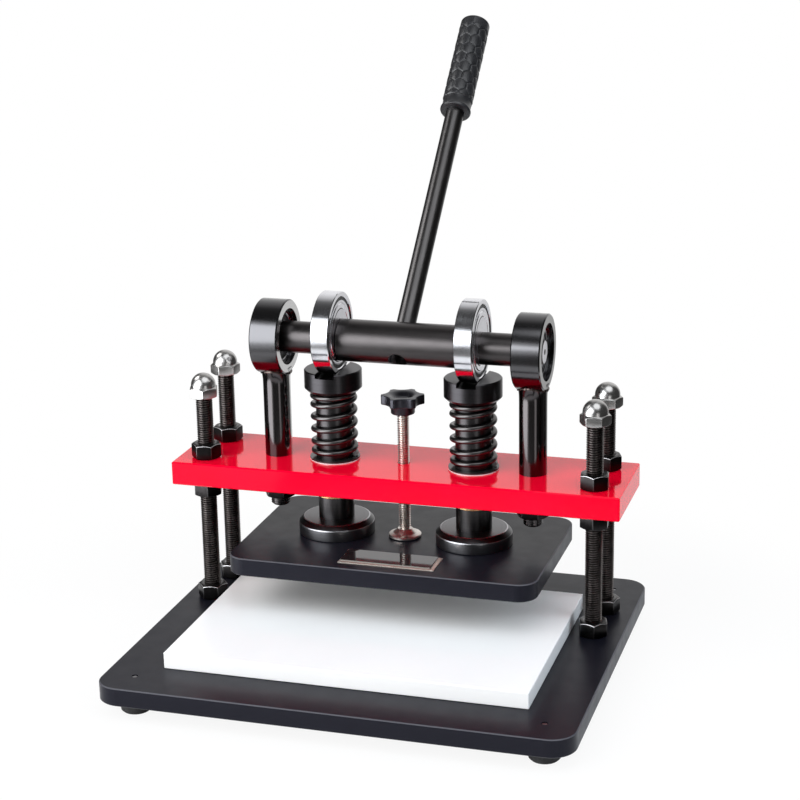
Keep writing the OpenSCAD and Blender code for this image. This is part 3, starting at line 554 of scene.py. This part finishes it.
def weld_neck():
    """The post's end, which swells a little up to the ring that it is welded to."""
    rings = []
    for row in range(NECK_ROWS + 1):
        share = row / NECK_ROWS
        ring = []
        for point in circle(1, 0, NECK_STEPS):
            swell = share ** NECK_CURVE
            x = (POST_R + NECK_PROUD + NECK_SIDE * swell) * point.x
            y = (POST_R + NECK_PROUD + NECK_BACK * swell) * point.y
            top = NECK_IN - math.sqrt(RING_R ** 2 - y ** 2)
            low = -RING_R - NECK_H
            ring.append(Vector((x, y, low + (top - low) * share)))
        rings.append(ring)
    return skin(rings)


STUD_PITCH, THREAD_PROUD, STUD_END, STUD_IN_NUT = 2 * MM, 0.2 * MM, 0.2 * MM, 2 * MM
nut_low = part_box("stud_nuts")[0].z
for side, sign in (("left", -1), ("right", 1)):
    neck = placed(weld_neck(), (sign * POST_X, SHAFT_Y, SHAFT_Z))
    piece("welded_neck_" + side, neck, post_black, "beam")
    bead = placed(weld_bead(sign), (sign * POST_X, SHAFT_Y, SHAFT_Z))
    piece("weld_bead_" + side, bead, weld_brown, "beam", crease=60)
    stud_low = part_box("eye_post_" + side)[0].z
    thread = threaded_bar(STUD_D + 2 * THREAD_PROUD, STUD_PITCH, stud_low + STUD_END, nut_low + STUD_IN_NUT)
    thread = placed(thread, (sign * POST_X, SHAFT_Y, 0))
    piece("stud_thread_" + side, thread, thread_black, "beam")

# Guide bushes: drawn bronze sleeves, pressed into the crossbeam and reamed for the plunger rods. A narrow
# lip of each shows under the beam.
bronze = finish("reamed_bronze", (0.62, 0.34, 0.16), 0.28, Metallic=1.0)
shade(bronze, grain(bronze, 6 * MM), (0.50, 0.26, 0.12), (0.68, 0.40, 0.20))
polish(bronze, grain(bronze, 3 * MM), 0.2, 0.38)
paint(bronze, "guide_bush_left", "guide_bush_right")
BUSH_LIP_H, BUSH_LIP_EDGE, BUSH_LIP_IN, ROD_GAP = 1.3 * MM, 0.4 * MM, 0.2 * MM, 0.05 * MM
LIP_STEPS = 96
rod_low, rod_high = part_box("plunger_rod_right")
ROD_R = (rod_high.x - rod_low.x) / 2
lips = []
for side in ("left", "right"):
    low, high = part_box("guide_bush_" + side)
    out_r, in_r = (high.x - low.x) / 2, ROD_R + ROD_GAP
    lip = [(in_r, BUSH_LIP_IN), (in_r, -BUSH_LIP_H), (out_r - BUSH_LIP_EDGE, -BUSH_LIP_H)]
    lip += [(out_r, BUSH_LIP_EDGE - BUSH_LIP_H), (out_r, BUSH_LIP_IN)]
    rings = [circle(r, z, LIP_STEPS) for r, z in lip]
    lips.append(placed(skin(rings, wrap=True), (*middle((low, high)), low.z)))
piece("bush_lips", joined(lips), bronze, "beam", crease=30)

# Spring seats and return springs: black ground washers with a painted highlight round the foot of the rim,
# under springs of round wire, coiled cold with closed ends and blackened. Each spring lifts its plunger and
# shortens as the lever comes down.
plunger_low, plunger_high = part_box("plunger_cap_right")
PLUNGER = ((plunger_low.x + plunger_high.x) / 2, SHAFT_Y, 0)
RIM_HIGHLIGHT, SEAT_BLACK = (0.66, 0.66, 0.67), (0.02, 0.019, 0.019)
RIM_H, RIM_FADE = 0.8 * MM, 0.2 * MM
seat_steel = finish("ground_steel_seat", RIM_HIGHLIGHT, 0.22, Metallic=0.2)
tool_lines(seat_steel, "Z", PLUNGER)
polish(seat_steel, grain(seat_steel, GLOSS_GRAIN), 0.14, 0.22)
rim_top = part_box("spring_seats")[0].z + RIM_H
# The rim's lowest 0.8 mm is painted bright and the rest black: a painted highlight round the rim.
seat_rise = remap(seat_steel, places(seat_steel)["Z"], rim_top, rim_top + RIM_FADE)
to_shader(seat_steel, ramp(seat_steel, seat_rise, ((0, RIM_HIGHLIGHT), (1, SEAT_BLACK))), "Base Color")
paint(seat_steel, "spring_seats")

spring_black = finish("gloss_black_wire", (0.05, 0.047, 0.046), 0.14, Metallic=1.0)
shade(spring_black, grain(spring_black, 10 * MM), (0.075, 0.071, 0.070), (0.105, 0.100, 0.099))
polish(spring_black, grain(spring_black, 6 * MM), 0.28, 0.30)

WIRE_D, OPEN_TURNS, CLOSED_TURNS, TURN_GAP = 4.5 * MM, 4, 1, 0.5 * MM
WIRE_STEPS, WIRE_SIDES = 48, 16


def coil(r, h):
    """Round wire wound in closed, open and closed turns, with its ends cut square."""
    closed_pitch = WIRE_D + TURN_GAP
    open_pitch = (h - WIRE_D - 2 * CLOSED_TURNS * closed_pitch) / OPEN_TURNS
    turns = OPEN_TURNS + 2 * CLOSED_TURNS
    rings = []
    for i in range(turns * WIRE_STEPS + 1):
        turn = i / WIRE_STEPS
        opened = min(max(turn - CLOSED_TURNS, 0), OPEN_TURNS)
        z = WIRE_D / 2 + open_pitch * opened + closed_pitch * (turn - opened)
        out = Vector((math.cos(2 * math.pi * turn), math.sin(2 * math.pi * turn), 0))
        rings.append([(r + WIRE_D / 2 * math.cos(a)) * out + Vector((0, 0, z + WIRE_D / 2 * math.sin(a)))
                      for a in (2 * math.pi * k / WIRE_SIDES for k in range(WIRE_SIDES))])
    return skin(rings)


for side in ("left", "right"):
    low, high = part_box("return_spring_" + side)
    spring_r = (high.x - low.x - WIRE_D) / 2
    spring = placed(coil(spring_r, high.z - low.z), (*middle((low, high)), low.z))
    made = piece("wound_spring_" + side, spring, spring_black, "beam",
                 ["return_spring_" + side])
    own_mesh(made)

# Bearings in the eyes: sealed ball bearings of ground steel, pressed into the rings on the shaft's ends.
# Their grey faces, rubber seals and the shaft's centre holes show at both sides.
eye_steel = turned_metal("ground_bearing_steel", "X", EYE,
                         (0.26, 0.26, 0.27), (0.32, 0.32, 0.33), 0.2, 0.3)
paint(eye_steel, "eye_bearing_outer_left", "eye_bearing_outer_right", "eye_bearing_inner_left",
      "eye_bearing_inner_right")
seal_rubber = finish("bearing_seal_rubber", (0.018, 0.017, 0.017), 0.45, Specular_IOR_Level=0.5)
shade(seal_rubber, grain(seal_rubber, 4 * MM), (0.013, 0.012, 0.012), (0.024, 0.023, 0.023))
polish(seal_rubber, grain(seal_rubber, 2 * MM), 0.35, 0.55)
paint(seal_rubber, "eye_bearing_seals", "roller_seals_left", "roller_seals_right")
paint(chrome_plate, "eye_bearing_balls", "roller_balls_left", "roller_balls_right")

# Cam shaft: turned from one bar, with a lobe off centre at each roller and a cross hole for the lever,
# and blackened, with its faces cut bright. It turns in the eye bearings.
SHAFT_BLACK, SHAFT_BRIGHT = (0.072, 0.066, 0.066), (0.80, 0.80, 0.84)
shaft_black = finish("blackened_shaft", (0.080, 0.074, 0.073), 0.33, Metallic=1.0)
tool_lines(shaft_black, "X", (0, SHAFT_Y, SHAFT_Z))
polish(shaft_black, grain(shaft_black, GLOSS_GRAIN), 0.28, 0.33)
turned_or_faced = ramp(shaft_black, faced(shaft_black), ((0, SHAFT_BLACK), (1, SHAFT_BRIGHT)))
to_shader(shaft_black, turned_or_faced, "Base Color")
paint(shaft_black, "cam_shaft")

# Lever rod: a drawn steel bar with long drawing lines, blackened. It is set in the shaft's cross hole, and
# carries the hand grip at its other end.
lever_black = finish("drawn_black_bar", (0.09, 0.085, 0.082), 0.26, Metallic=1.0)
drawing_lines = grain(lever_black, 1.5 * MM, stretch=(1, 0.06, 0.06), detail=4)
shade(lever_black, drawing_lines, (0.085, 0.081, 0.081), (0.110, 0.105, 0.105))
polish(lever_black, grain(lever_black, 12 * MM), 0.28, 0.34)
relief(lever_black, drawing_lines, 0.004 * MM)
paint(lever_black, "lever_rod")

# Hand grip: a black rubber sleeve, moulded with a collar at its foot and rows of soft hexagon pads for
# the hand, and pushed over the lever rod's end.
GRIP_L, GRIP_R, LEVER_R = 100 * MM, 13 * MM, 8.02 * MM
LIP_H, COLLAR_H, COLLAR_R, TIP_H, TIP_R = 4 * MM, 11 * MM, 13.5 * MM, 7 * MM, 1.6 * MM
PADS_ROUND, PAD_RISE, PAD_CROWN, GROOVE_W, PAD_EDGE = 7, 0.55 * MM, 0.3 * MM, 0.4 * MM, 0.5 * MM
PAD_STEPS, PAD_SLICE, PAD_FADE = 24, 0.55 * MM, 2 * MM
LEVER_LEAN, LEVER_L = math.radians(46.5), 337 * MM
pad_w = 2 * math.pi * GRIP_R / PADS_ROUND
pad_row = pad_w * math.sqrt(3) / 2
pads_from, pads_to = COLLAR_H + 1 * MM, GRIP_L - TIP_H


def eased(x):
    """A rise from 0 to 1 with soft ends."""
    x = min(max(x, 0), 1)
    return x * x * (3 - 2 * x)


def pad_height(turn, along):
    """Height of the pads' pattern at a turn round the grip and a place along it."""
    best = 0
    row = round(along / pad_row)
    for r in (row - 1, row, row + 1):
        shift = turn * PADS_ROUND - 0.5 * (r % 2)
        across, up = abs(shift - round(shift)) * pad_w, abs(along - r * pad_row)
        reach = max(across, across / 2 + up * math.sqrt(3) / 2)
        inside = pad_w / 2 - reach - GROOVE_W / 2
        if inside > 0:
            best = PAD_RISE * eased(inside / PAD_EDGE) + PAD_CROWN * (1 - (reach / (pad_w / 2)) ** 2)
    return best


def grip_rings():
    """Rings from the grip's foot to its tip: collar, groove, rows of pads, rounded end."""
    floor_r = GRIP_R - PAD_RISE
    neck_r = GRIP_R - 0.4 * MM
    foot = [(LEVER_R, 0.0), (COLLAR_R - 1.6 * MM, 0.0), (COLLAR_R - 0.5 * MM, 0.4 * MM)]
    foot += [(COLLAR_R, 1.4 * MM), (COLLAR_R, LIP_H - 1.2 * MM), (COLLAR_R - 0.4 * MM, LIP_H - 0.3 * MM)]
    foot += [(neck_r, LIP_H + 0.5 * MM), (neck_r, COLLAR_H - 1 * MM)]
    foot += [(floor_r, COLLAR_H), (floor_r, pads_from)]
    tip = [(GRIP_R - TIP_R + TIP_R * math.cos(a), GRIP_L - TIP_R + TIP_R * math.sin(a))
           for a in (math.radians(10 * k) for k in range(10))]
    tip += [(0.72 * GRIP_R, GRIP_L), (0.68 * GRIP_R, GRIP_L - 0.6 * MM), (0.2 * GRIP_R, GRIP_L - 0.6 * MM)]
    steps = PADS_ROUND * PAD_STEPS
    rings = [circle(r, z, steps) for r, z in foot]
    rows = round((pads_to - pads_from) / PAD_SLICE)
    for i in range(1, rows):
        z = pads_from + (pads_to - pads_from) * i / rows
        fade = eased((pads_to - z) / PAD_FADE)
        ring = []
        for k in range(steps):
            turn = k / steps
            r = GRIP_R + (floor_r - GRIP_R + pad_height(turn, z - pads_from)) * fade
            ring.append(Vector((r * math.cos(2 * math.pi * turn), r * math.sin(2 * math.pi * turn), z)))
        rings.append(ring)
    return rings + [circle(r, z, steps) for r, z in tip]


grip_rubber = finish("grip_rubber", (0.012, 0.012, 0.013), 0.34, Specular_IOR_Level=0.6)
shade(grip_rubber, grain(grip_rubber, 9 * MM), (0.010, 0.010, 0.011), (0.015, 0.015, 0.017))
polish(grip_rubber, grain(grip_rubber, 5 * MM), 0.30, 0.38)
relief(grip_rubber, grain(grip_rubber, 0.3 * MM), 0.015 * MM)
lever_frame = Matrix.Translation((0, SHAFT_Y, SHAFT_Z)) @ Matrix.Rotation(-LEVER_LEAN, 4, "X")
grip_verts, grip_faces = skin(grip_rings())
grip_verts = [lever_frame @ (vert + Vector((0, 0, LEVER_L - GRIP_L))) for vert in grip_verts]
piece("honeycomb_grip", (grip_verts, grip_faces), grip_rubber, "lever", ["hand_grip"])

# Rollers: deep groove ball bearings on the shaft's lobes. Their hardened outer rings are polished bright
# and roll in the slots of the plunger caps, and the ground inner rings are pressed on the lobes.
roller_low, roller_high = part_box("roller_outer_right")
ROLLER_Z = (roller_low.z + roller_high.z) / 2
ROLLER = ((roller_low.x + roller_high.x) / 2, SHAFT_Y, ROLLER_Z)
roller_steel = turned_metal("polished_roller_steel", "X", ROLLER,
                            (0.70, 0.70, 0.73), (0.76, 0.76, 0.79), 0.12, 0.16)
paint(roller_steel, "roller_outer_left", "roller_outer_right")
race_steel = turned_metal("ground_race_steel", "X", ROLLER,
                          (0.76, 0.76, 0.80), (0.82, 0.82, 0.86), 0.2, 0.3)
paint(race_steel, "roller_inner_left", "roller_inner_right")

SHIELD_IN_R, SHIELD_OUT_R = 24.45 * MM, 26.8 * MM
SHIELD_PROUD, SHIELD_SUNK, SHIELD_EDGE = 0.3 * MM, 0.3 * MM, 0.15 * MM


def eased_corners(profile, edge, steps=4):
    """A profile with each corner between its ends made round, over an edge's length to both sides."""
    points = [Vector(profile[0])]
    for before, corner, after in zip(profile, profile[1:], profile[2:]):
        before, corner, after = Vector(before), Vector(corner), Vector(after)
        start = corner + edge * (before - corner).normalized()
        end = corner + edge * (after - corner).normalized()
        for k in range(steps + 1):
            share = k / steps
            points.append(start.lerp(corner, share).lerp(corner.lerp(end, share), share))
    return points + [Vector(profile[-1])]


for side in ("left", "right"):
    low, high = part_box("roller_seals_" + side)
    shields = []
    for face, out in ((low.x, -1), (high.x, 1)):
        profile = [(SHIELD_IN_R, -SHIELD_SUNK), (SHIELD_IN_R, SHIELD_PROUD)]
        profile += [(SHIELD_OUT_R, SHIELD_PROUD), (SHIELD_OUT_R, -SHIELD_SUNK)]
        rings = [circle(r, rise, LIP_STEPS) for r, rise in eased_corners(profile, SHIELD_EDGE)]
        verts, faces = skin(rings, wrap=True)
        verts = [Vector((face + out * v.z, SHAFT_Y + v.x, ROLLER_Z + v.y)) for v in verts]
        shields.append((verts, faces))
    piece("shield_lips_" + side, joined(shields), race_steel, "roller_" + side)

# Plungers: ground rods with slotted caps on top and broad flanges below, turned and blackened. Countersunk
# bolts go up through the press plate into the rods.
plunger_black = turned_metal("blackened_plunger", "Z", PLUNGER,
                             (0.034, 0.032, 0.034), (0.044, 0.042, 0.045), 0.28, 0.32)
paint(plunger_black, "plunger_cap_left", "plunger_cap_right")
rod_black = turned_metal("ground_black_rod", "Z", PLUNGER,
                         (0.046, 0.043, 0.044), (0.058, 0.055, 0.056), 0.275, 0.30)
paint(rod_black, "plunger_rod_left", "plunger_rod_right")
paint(nut_black, "plunger_bolts")

FLANGE_BEVEL, FLANGE_EDGE, FLANGE_STEPS = 4 * MM, 0.9 * MM, 128
flange_black = turned_metal("blackened_flange", "Z", PLUNGER,
                            (0.17, 0.168, 0.175), (0.21, 0.208, 0.217), 0.275, 0.30)
# Light and shade are painted on the flange by slope: painted highlights on the round edges below and above
# the bevel, painted shade on the bevel, and less painted shade on the flat top.
FLANGE_PAINTED_LEVELS = ((0.15, 1.0), (0.25, 1.6), (0.5, 1.6), (0.6, 0.2), (0.76, 0.2), (0.86, 2.4), (0.975, 2.4),
                 (1, 0.65))
flange_painted_stops = [(position, (level,) * 3) for position, level in FLANGE_PAINTED_LEVELS]
flange_slope_light = ramp(flange_black, facing(flange_black, "Z"), flange_painted_stops)
flange_with_painted_light = add(flange_black, "MixRGB", {0: 1.0, 1: shade_of(flange_black), 2: flange_slope_light},
                  blend_type="MULTIPLY")
to_shader(flange_black, flange_with_painted_light.outputs["Color"], "Base Color")
for side in ("left", "right"):
    low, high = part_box("plunger_flange_" + side)
    r, h = (high.x - low.x) / 2, high.z - low.z
    outer = [(ROD_R, 0), (r, 0), (r, h - FLANGE_BEVEL), (r - FLANGE_BEVEL, h), (ROD_R, h)]
    rings = [circle(ring_r, z, FLANGE_STEPS) for ring_r, z in eased_corners(outer, FLANGE_EDGE)]
    flange = placed(skin(rings, wrap=True), (*middle((low, high)), low.z))
    piece("bevelled_flange_" + side, flange, flange_black, "press",
          ["plunger_flange_" + side], crease=30)

# Press plate: a steel plate like the base plate, with the same satin black coat. A bare plate is glued on
# its top near the front edge: a strip of pale metal with a panel of polished black, set to the back left.
paint(powder_coat, "press_plate")
BARE_PLATE = ((-36 * MM, 45 * MM), (-72 * MM, -43 * MM))
BACKING_T, BACKING_EDGE = 0.6 * MM, 0.2 * MM
PANEL_T, PANEL_EDGE, PANEL_IN = 0.9 * MM, 0.15 * MM, 0.05 * MM
PANEL_MARGINS = (0.8 * MM, 3.8 * MM, 3.6 * MM, 0.8 * MM)
pale_metal = finish("pale_satin_metal", (0.78, 0.70, 0.62), 0.34, Metallic=1.0)
shade(pale_metal, grain(pale_metal, 2 * MM, stretch=(0.1, 1, 1)), (0.70, 0.62, 0.54), (0.84, 0.76, 0.68))
polish(pale_metal, grain(pale_metal, 2 * MM), 0.28, 0.4)
black_panel = finish("polished_black_panel", (0.016, 0.011, 0.012), 0.05, Specular_IOR_Level=1.0)
shade(black_panel, grain(black_panel, 12 * MM), (0.012, 0.008, 0.009), (0.022, 0.015, 0.016))
polish(black_panel, grain(black_panel, 6 * MM), 0.03, 0.06)


def rectangle(margins, z):
    """The bare plate's outline, drawn in by margins at the left, the right, the front and the back."""
    (x0, x1), (y0, y1) = BARE_PLATE
    left, right, front, back = margins
    x0, x1, y0, y1 = x0 + left, x1 - right, SHAFT_Y + y0 + front, SHAFT_Y + y1 - back
    return [Vector(corner) for corner in ((x0, y0, z), (x1, y0, z), (x1, y1, z), (x0, y1, z))]


def flat_plate(margins, z, thickness, edge):
    """A thin plate with its top edge bevelled."""
    drawn_in = [margin + edge for margin in margins]
    top = z + thickness
    return skin([rectangle(margins, z), rectangle(margins, top - edge), rectangle(drawn_in, top)])


plate_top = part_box("press_plate")[1].z
backing = flat_plate((0, 0, 0, 0), plate_top, BACKING_T, BACKING_EDGE)
piece("bare_plate_backing", backing, pale_metal, "press", crease=30)
panel = flat_plate(PANEL_MARGINS, plate_top + BACKING_T - PANEL_IN, PANEL_T, PANEL_EDGE)
piece("bare_plate_panel", panel, black_panel, "press", crease=30)

# Height stop: a nickel plated screw through the crossbeam, with a star knob of black plastic moulded on its
# head and a swivel pad at its foot that meets the press plate.
STOP_D, STOP_PITCH, STOP_STEPS = 10 * MM, 2 * MM, 28
PIN_R, PIN_SHOWN, PIN_IN = 3.5 * MM, 0.3 * MM, 0.5 * MM
nickel_plate = finish("nickel_plate", (0.62, 0.57, 0.53), 0.32, Metallic=1.0)
shade(nickel_plate, grain(nickel_plate, 8 * MM), (0.56, 0.51, 0.47), (0.70, 0.65, 0.61))
polish(nickel_plate, grain(nickel_plate, 4 * MM), 0.28, 0.36)
low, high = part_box("stop_screw")
thread_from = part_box("stop_foot")[1].z + PIN_SHOWN
screw = threaded_bar(STOP_D, STOP_PITCH, thread_from, high.z, STOP_STEPS)
pin = skin([circle(PIN_R, low.z, STOP_STEPS), circle(PIN_R, thread_from + PIN_IN, STOP_STEPS)])
screw = placed(joined([screw, pin]), (*middle((low, high)), 0))
piece("stop_screw_threaded", screw, nickel_plate, "stop_knob", ["stop_screw"], crease=30)
paint(nickel_plate, "stop_foot")

KNOB_LOBES, KNOB_OUT_R, KNOB_LOBE_H, KNOB_STEPS, KNOB_TURN = 6, 18 * MM, 8 * MM, 144, 17
KNOB_HUB_R, KNOB_DISH_R, KNOB_DISH_H = 10 * MM, 12.2 * MM, 3.6 * MM
HOLLOW_R, HOLLOW_AT = 14.15 * MM, 28.55 * MM
knob_plastic = finish("glossy_black_plastic", (0.006, 0.006, 0.008), 0.3, Specular_IOR_Level=0.45,
                      Specular_Tint=(0.88, 0.86, 1.0, 1))
shade(knob_plastic, grain(knob_plastic, 12 * MM), (0.004, 0.004, 0.0055), (0.007, 0.007, 0.009))
polish(knob_plastic, grain(knob_plastic, 6 * MM), 0.28, 0.34)
relief(knob_plastic, grain(knob_plastic, 1.5 * MM), 0.01 * MM)


def star_ring(inset, z):
    """The knob's outline drawn in by an inset: lobes on a circle, with a round hollow between each two."""
    ring = []
    for k in range(KNOB_STEPS):
        turn = 2 * math.pi * k / KNOB_STEPS
        from_hollow = turn % (2 * math.pi / KNOB_LOBES) - math.pi / KNOB_LOBES
        aside = HOLLOW_AT * math.sin(from_hollow)
        star = KNOB_OUT_R
        if abs(aside) < HOLLOW_R:
            star = min(star, HOLLOW_AT * math.cos(from_hollow) - math.sqrt(HOLLOW_R ** 2 - aside ** 2))
        r = star - inset
        ring.append(Vector((r * math.cos(turn), r * math.sin(turn), z)))
    return ring


low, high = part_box("star_knob")
knob_h = high.z - low.z
lobe_low = knob_h - KNOB_LOBE_H
hub = [(STOP_D / 2, 0), (KNOB_HUB_R - 1 * MM, 0), (KNOB_HUB_R - 0.3 * MM, 0.3 * MM), (KNOB_HUB_R, 1 * MM)]
hub += [(KNOB_HUB_R, lobe_low - 1 * MM), (KNOB_HUB_R + 0.6 * MM, lobe_low)]
rings = [circle(r, z, KNOB_STEPS) for r, z in hub]
for inset, z in ((0.9, 0.0), (0.35, 0.12), (0.08, 0.45), (0.0, 1.0)):
    rings.append(star_ring(inset * MM, lobe_low + z * MM))
for inset, z in ((0.0, 1.0), (0.06, 0.5), (0.25, 0.18), (0.6, 0.02), (0.8, 0.0)):
    rings.append(star_ring(inset * MM, knob_h - z * MM))
for r, z in ((1.0, 0.0), (0.95, 0.014), (0.885, 0.056), (0.8, 0.14), (0.72, 0.264), (0.64, 0.444),
             (0.557, 0.667), (0.475, 0.861), (0.377, 0.972), (0.2, 1.0)):
    rings.append(circle(r * KNOB_DISH_R, knob_h - z * KNOB_DISH_H, KNOB_STEPS))
knob = placed(turned(skin(rings), KNOB_TURN), (*middle((low, high)), low.z))
piece("moulded_star_knob", knob, knob_plastic, "stop_knob", ["star_knob"], crease=50)

# Studio: a white floor and backdrop in a dim room. The metal mirrors a tall panel with a dim halo at the
# front left, a low strip, a small panel at the left and a round one at the front right. Four plain lights,
# which no metal mirrors, stand at the front left, the front right, above and at the right.
FLOOR_HALF, FLOOR_WHITE, FLOOR_SHADE, FLOOR_MIRRORED = 4.0, 0.88, 0.10, 0.3
FLOOR_SHIFT, FLOOR_NEAR, FLOOR_FAR = (0, 0.07, 0), 0.30, 0.48
floor_paper = finish("white_floor", (FLOOR_WHITE,) * 3, 0.9, Specular_IOR_Level=0.0)
tree = floor_paper.node_tree
seen = add(floor_paper, "LightPath", {}).outputs
mirrored = reckon(floor_paper, "MULTIPLY", seen["Is Glossy Ray"], FLOOR_MIRRORED)
shown = reckon(floor_paper, "MAXIMUM", seen["Is Camera Ray"], mirrored)
shown = reckon(floor_paper, "MAXIMUM", shown, seen["Is Transmission Ray"])
place = add(floor_paper, "TexCoord", {}).outputs["Object"]
reach = add(floor_paper, "VectorMath", {0: place, 1: FLOOR_SHIFT}, operation="ADD").outputs["Vector"]
reach = add(floor_paper, "VectorMath", {0: reach}, operation="LENGTH").outputs["Value"]
away = remap(floor_paper, reach, FLOOR_NEAR, FLOOR_FAR, interpolation_type="SMOOTHSTEP")
lit = remap(floor_paper, away, 0, 1, 1 - FLOOR_SHADE, 1)
share = reckon(floor_paper, "MULTIPLY", shown, lit)
glow = add(floor_paper, "Emission", {"Color": (1, 1, 1, 1), "Strength": 1.0})
paper = tree.nodes["Principled BSDF"].outputs["BSDF"]
mixed = add(floor_paper, "MixShader", {0: share, 1: paper, 2: glow.outputs[0]})
beyond = reckon(floor_paper, "MULTIPLY", seen["Is Glossy Ray"], away)
open_end = add(floor_paper, "BsdfTransparent", {})
mixed = add(floor_paper, "MixShader", {0: beyond, 1: mixed.outputs[0], 2: open_end.outputs[0]})
tree.links.new(mixed.outputs[0], tree.nodes["Material Output"].inputs["Surface"])
floor_mesh = bpy.data.meshes.new("floor")
half = FLOOR_HALF
corners = [(-half, -half, 0), (half, -half, 0), (half, half, 0), (-half, half, 0)]
floor_mesh.from_pydata(corners, [], [(0, 1, 2, 3)])
floor_mesh.materials.append(floor_paper)
floor = bpy.data.objects.new("floor", floor_mesh)
bpy.context.scene.collection.objects.link(floor)

ROOM = ((-180, 0.9), (-165, 0.75), (-130, 0.5), (-40, 0.4), (-20, 0.18), (0, 0.12), (55, 0.04), (80, 0.04),
        (95, 0.08), (106, 0.16), (115, 0.4), (124, 0.65), (136, 0.85), (146, 1), (180, 1))
ROOM_SIDES, SIDE_FROM, SIDE_TO = 0.06, 0.32, 0.62
world = bpy.data.worlds.new("studio")
bpy.context.scene.world = world
world.use_nodes = True
sky = world.node_tree.nodes["Background"]
direction = add(world, "TexCoord", {}).outputs["Generated"]
parts = add(world, "SeparateXYZ", {"Vector": direction}).outputs
ahead = reckon(world, "MULTIPLY", parts["Y"], -1.0)
tilt = remap(world, reckon(world, "ARCTAN2", parts["Z"], ahead), -math.pi, math.pi)
room = ramp(world, tilt, [((angle + 180) / 360, (level,) * 3) for angle, level in ROOM])
wide = remap(world, reckon(world, "ABSOLUTE", parts["X"]), SIDE_FROM, SIDE_TO,
             interpolation_type="SMOOTHSTEP")
dim = add(world, "MixRGB", {0: wide, 1: room, 2: (ROOM_SIDES,) * 3 + (1,)})
camera_ray = add(world, "LightPath", {}).outputs["Is Camera Ray"]
backdrop = add(world, "Background", {"Color": (1, 1, 1, 1), "Strength": 1.0})
world.node_tree.links.new(dim.outputs["Color"], sky.inputs["Color"])
both = add(world, "MixShader", {0: camera_ray, 1: sky.outputs[0], 2: backdrop.outputs[0]})
world.node_tree.links.new(both.outputs[0], world.node_tree.nodes["World Output"].inputs["Surface"])

LIGHTS_ROUND = Vector((0, -0.02, 0.2))


def soft_light(name, shape, side, rise, width, height, watts, use, roll=0, far=1.5, tint=1.0):
    """An area light round the machine's middle, which either lights it or is mirrored in its metal."""
    data = bpy.data.lights.new(name, "AREA")
    data.shape, data.size, data.size_y, data.energy = shape, width, height, watts
    data.color = (tint, (1 + tint) / 2, 1)
    side, rise, roll = math.radians(side), math.radians(rise), Matrix.Rotation(math.radians(roll), 3, "Z")
    away = Vector((math.sin(side) * math.cos(rise), -math.cos(side) * math.cos(rise), math.sin(rise)))
    light = bpy.data.objects.new(name, data)
    light.location = LIGHTS_ROUND + far * away
    light.rotation_euler = (away.to_track_quat("Z", "Y").to_matrix() @ roll).to_euler()
    light.visible_camera = False
    light.visible_glossy = use == "mirror"
    light.visible_diffuse = use == "light"
    bpy.context.scene.collection.objects.link(light)


soft_light("tall_panel", "RECTANGLE", -42, 6, 1.2, 2.25, 40, "mirror", roll=-29, tint=0.94)
soft_light("panel_halo", "RECTANGLE", -42, 6, 1.7, 2.8, 21, "mirror", roll=-29, far=1.53, tint=0.94)
soft_light("low_strip", "RECTANGLE", 36, -12, 0.36, 0.8, 1.4, "mirror")
soft_light("left_panel", "RECTANGLE", -92, 42, 0.7, 0.7, 6, "mirror")
soft_light("round_panel", "ELLIPSE", 45, 64, 1.5, 1.5, 11, "mirror", tint=0.94)
soft_light("key_light", "RECTANGLE", -35, 20, 1.8, 1.8, 38, "light")
soft_light("front_right_light", "ELLIPSE", 43, 48, 1.3, 1.3, 8, "light", tint=0.82)
soft_light("top_light", "RECTANGLE", -20, 80, 1.5, 1.5, 7.6, "light", tint=0.92)
soft_light("right_light", "RECTANGLE", 80, 20, 0.9, 0.9, 10.5, "light", tint=0.82)

# Camera: it stands where the photograph was taken from, to the right of the machine's front and above it.
# Its place, turn and focal length were fitted to the edges of the plates, the beam and the columns.
CAMERA_AT = Vector((451.79, -1480.90 + SHAFT_Y / MM, 673.40)) * MM
CAMERA_YAW, CAMERA_PITCH, CAMERA_ROLL = (math.radians(a) for a in (17.048, 16.723, -1.054))
FOCAL_PX, IMAGE_PX, SENSOR_MM = 1963.5, 800, 36
camera_data = bpy.data.cameras.new("camera")
camera_data.sensor_width = SENSOR_MM
camera_data.lens = FOCAL_PX * SENSOR_MM / IMAGE_PX
camera = bpy.data.objects.new("camera", camera_data)
aim = Matrix.Rotation(CAMERA_YAW, 4, "Z") @ Matrix.Rotation(math.pi / 2 - CAMERA_PITCH, 4, "X")
camera.matrix_world = Matrix.Translation(CAMERA_AT) @ aim @ Matrix.Rotation(CAMERA_ROLL, 4, "Z")
bpy.context.scene.collection.objects.link(camera)
bpy.context.scene.camera = camera
bpy.context.scene.view_settings.view_transform = "Standard"
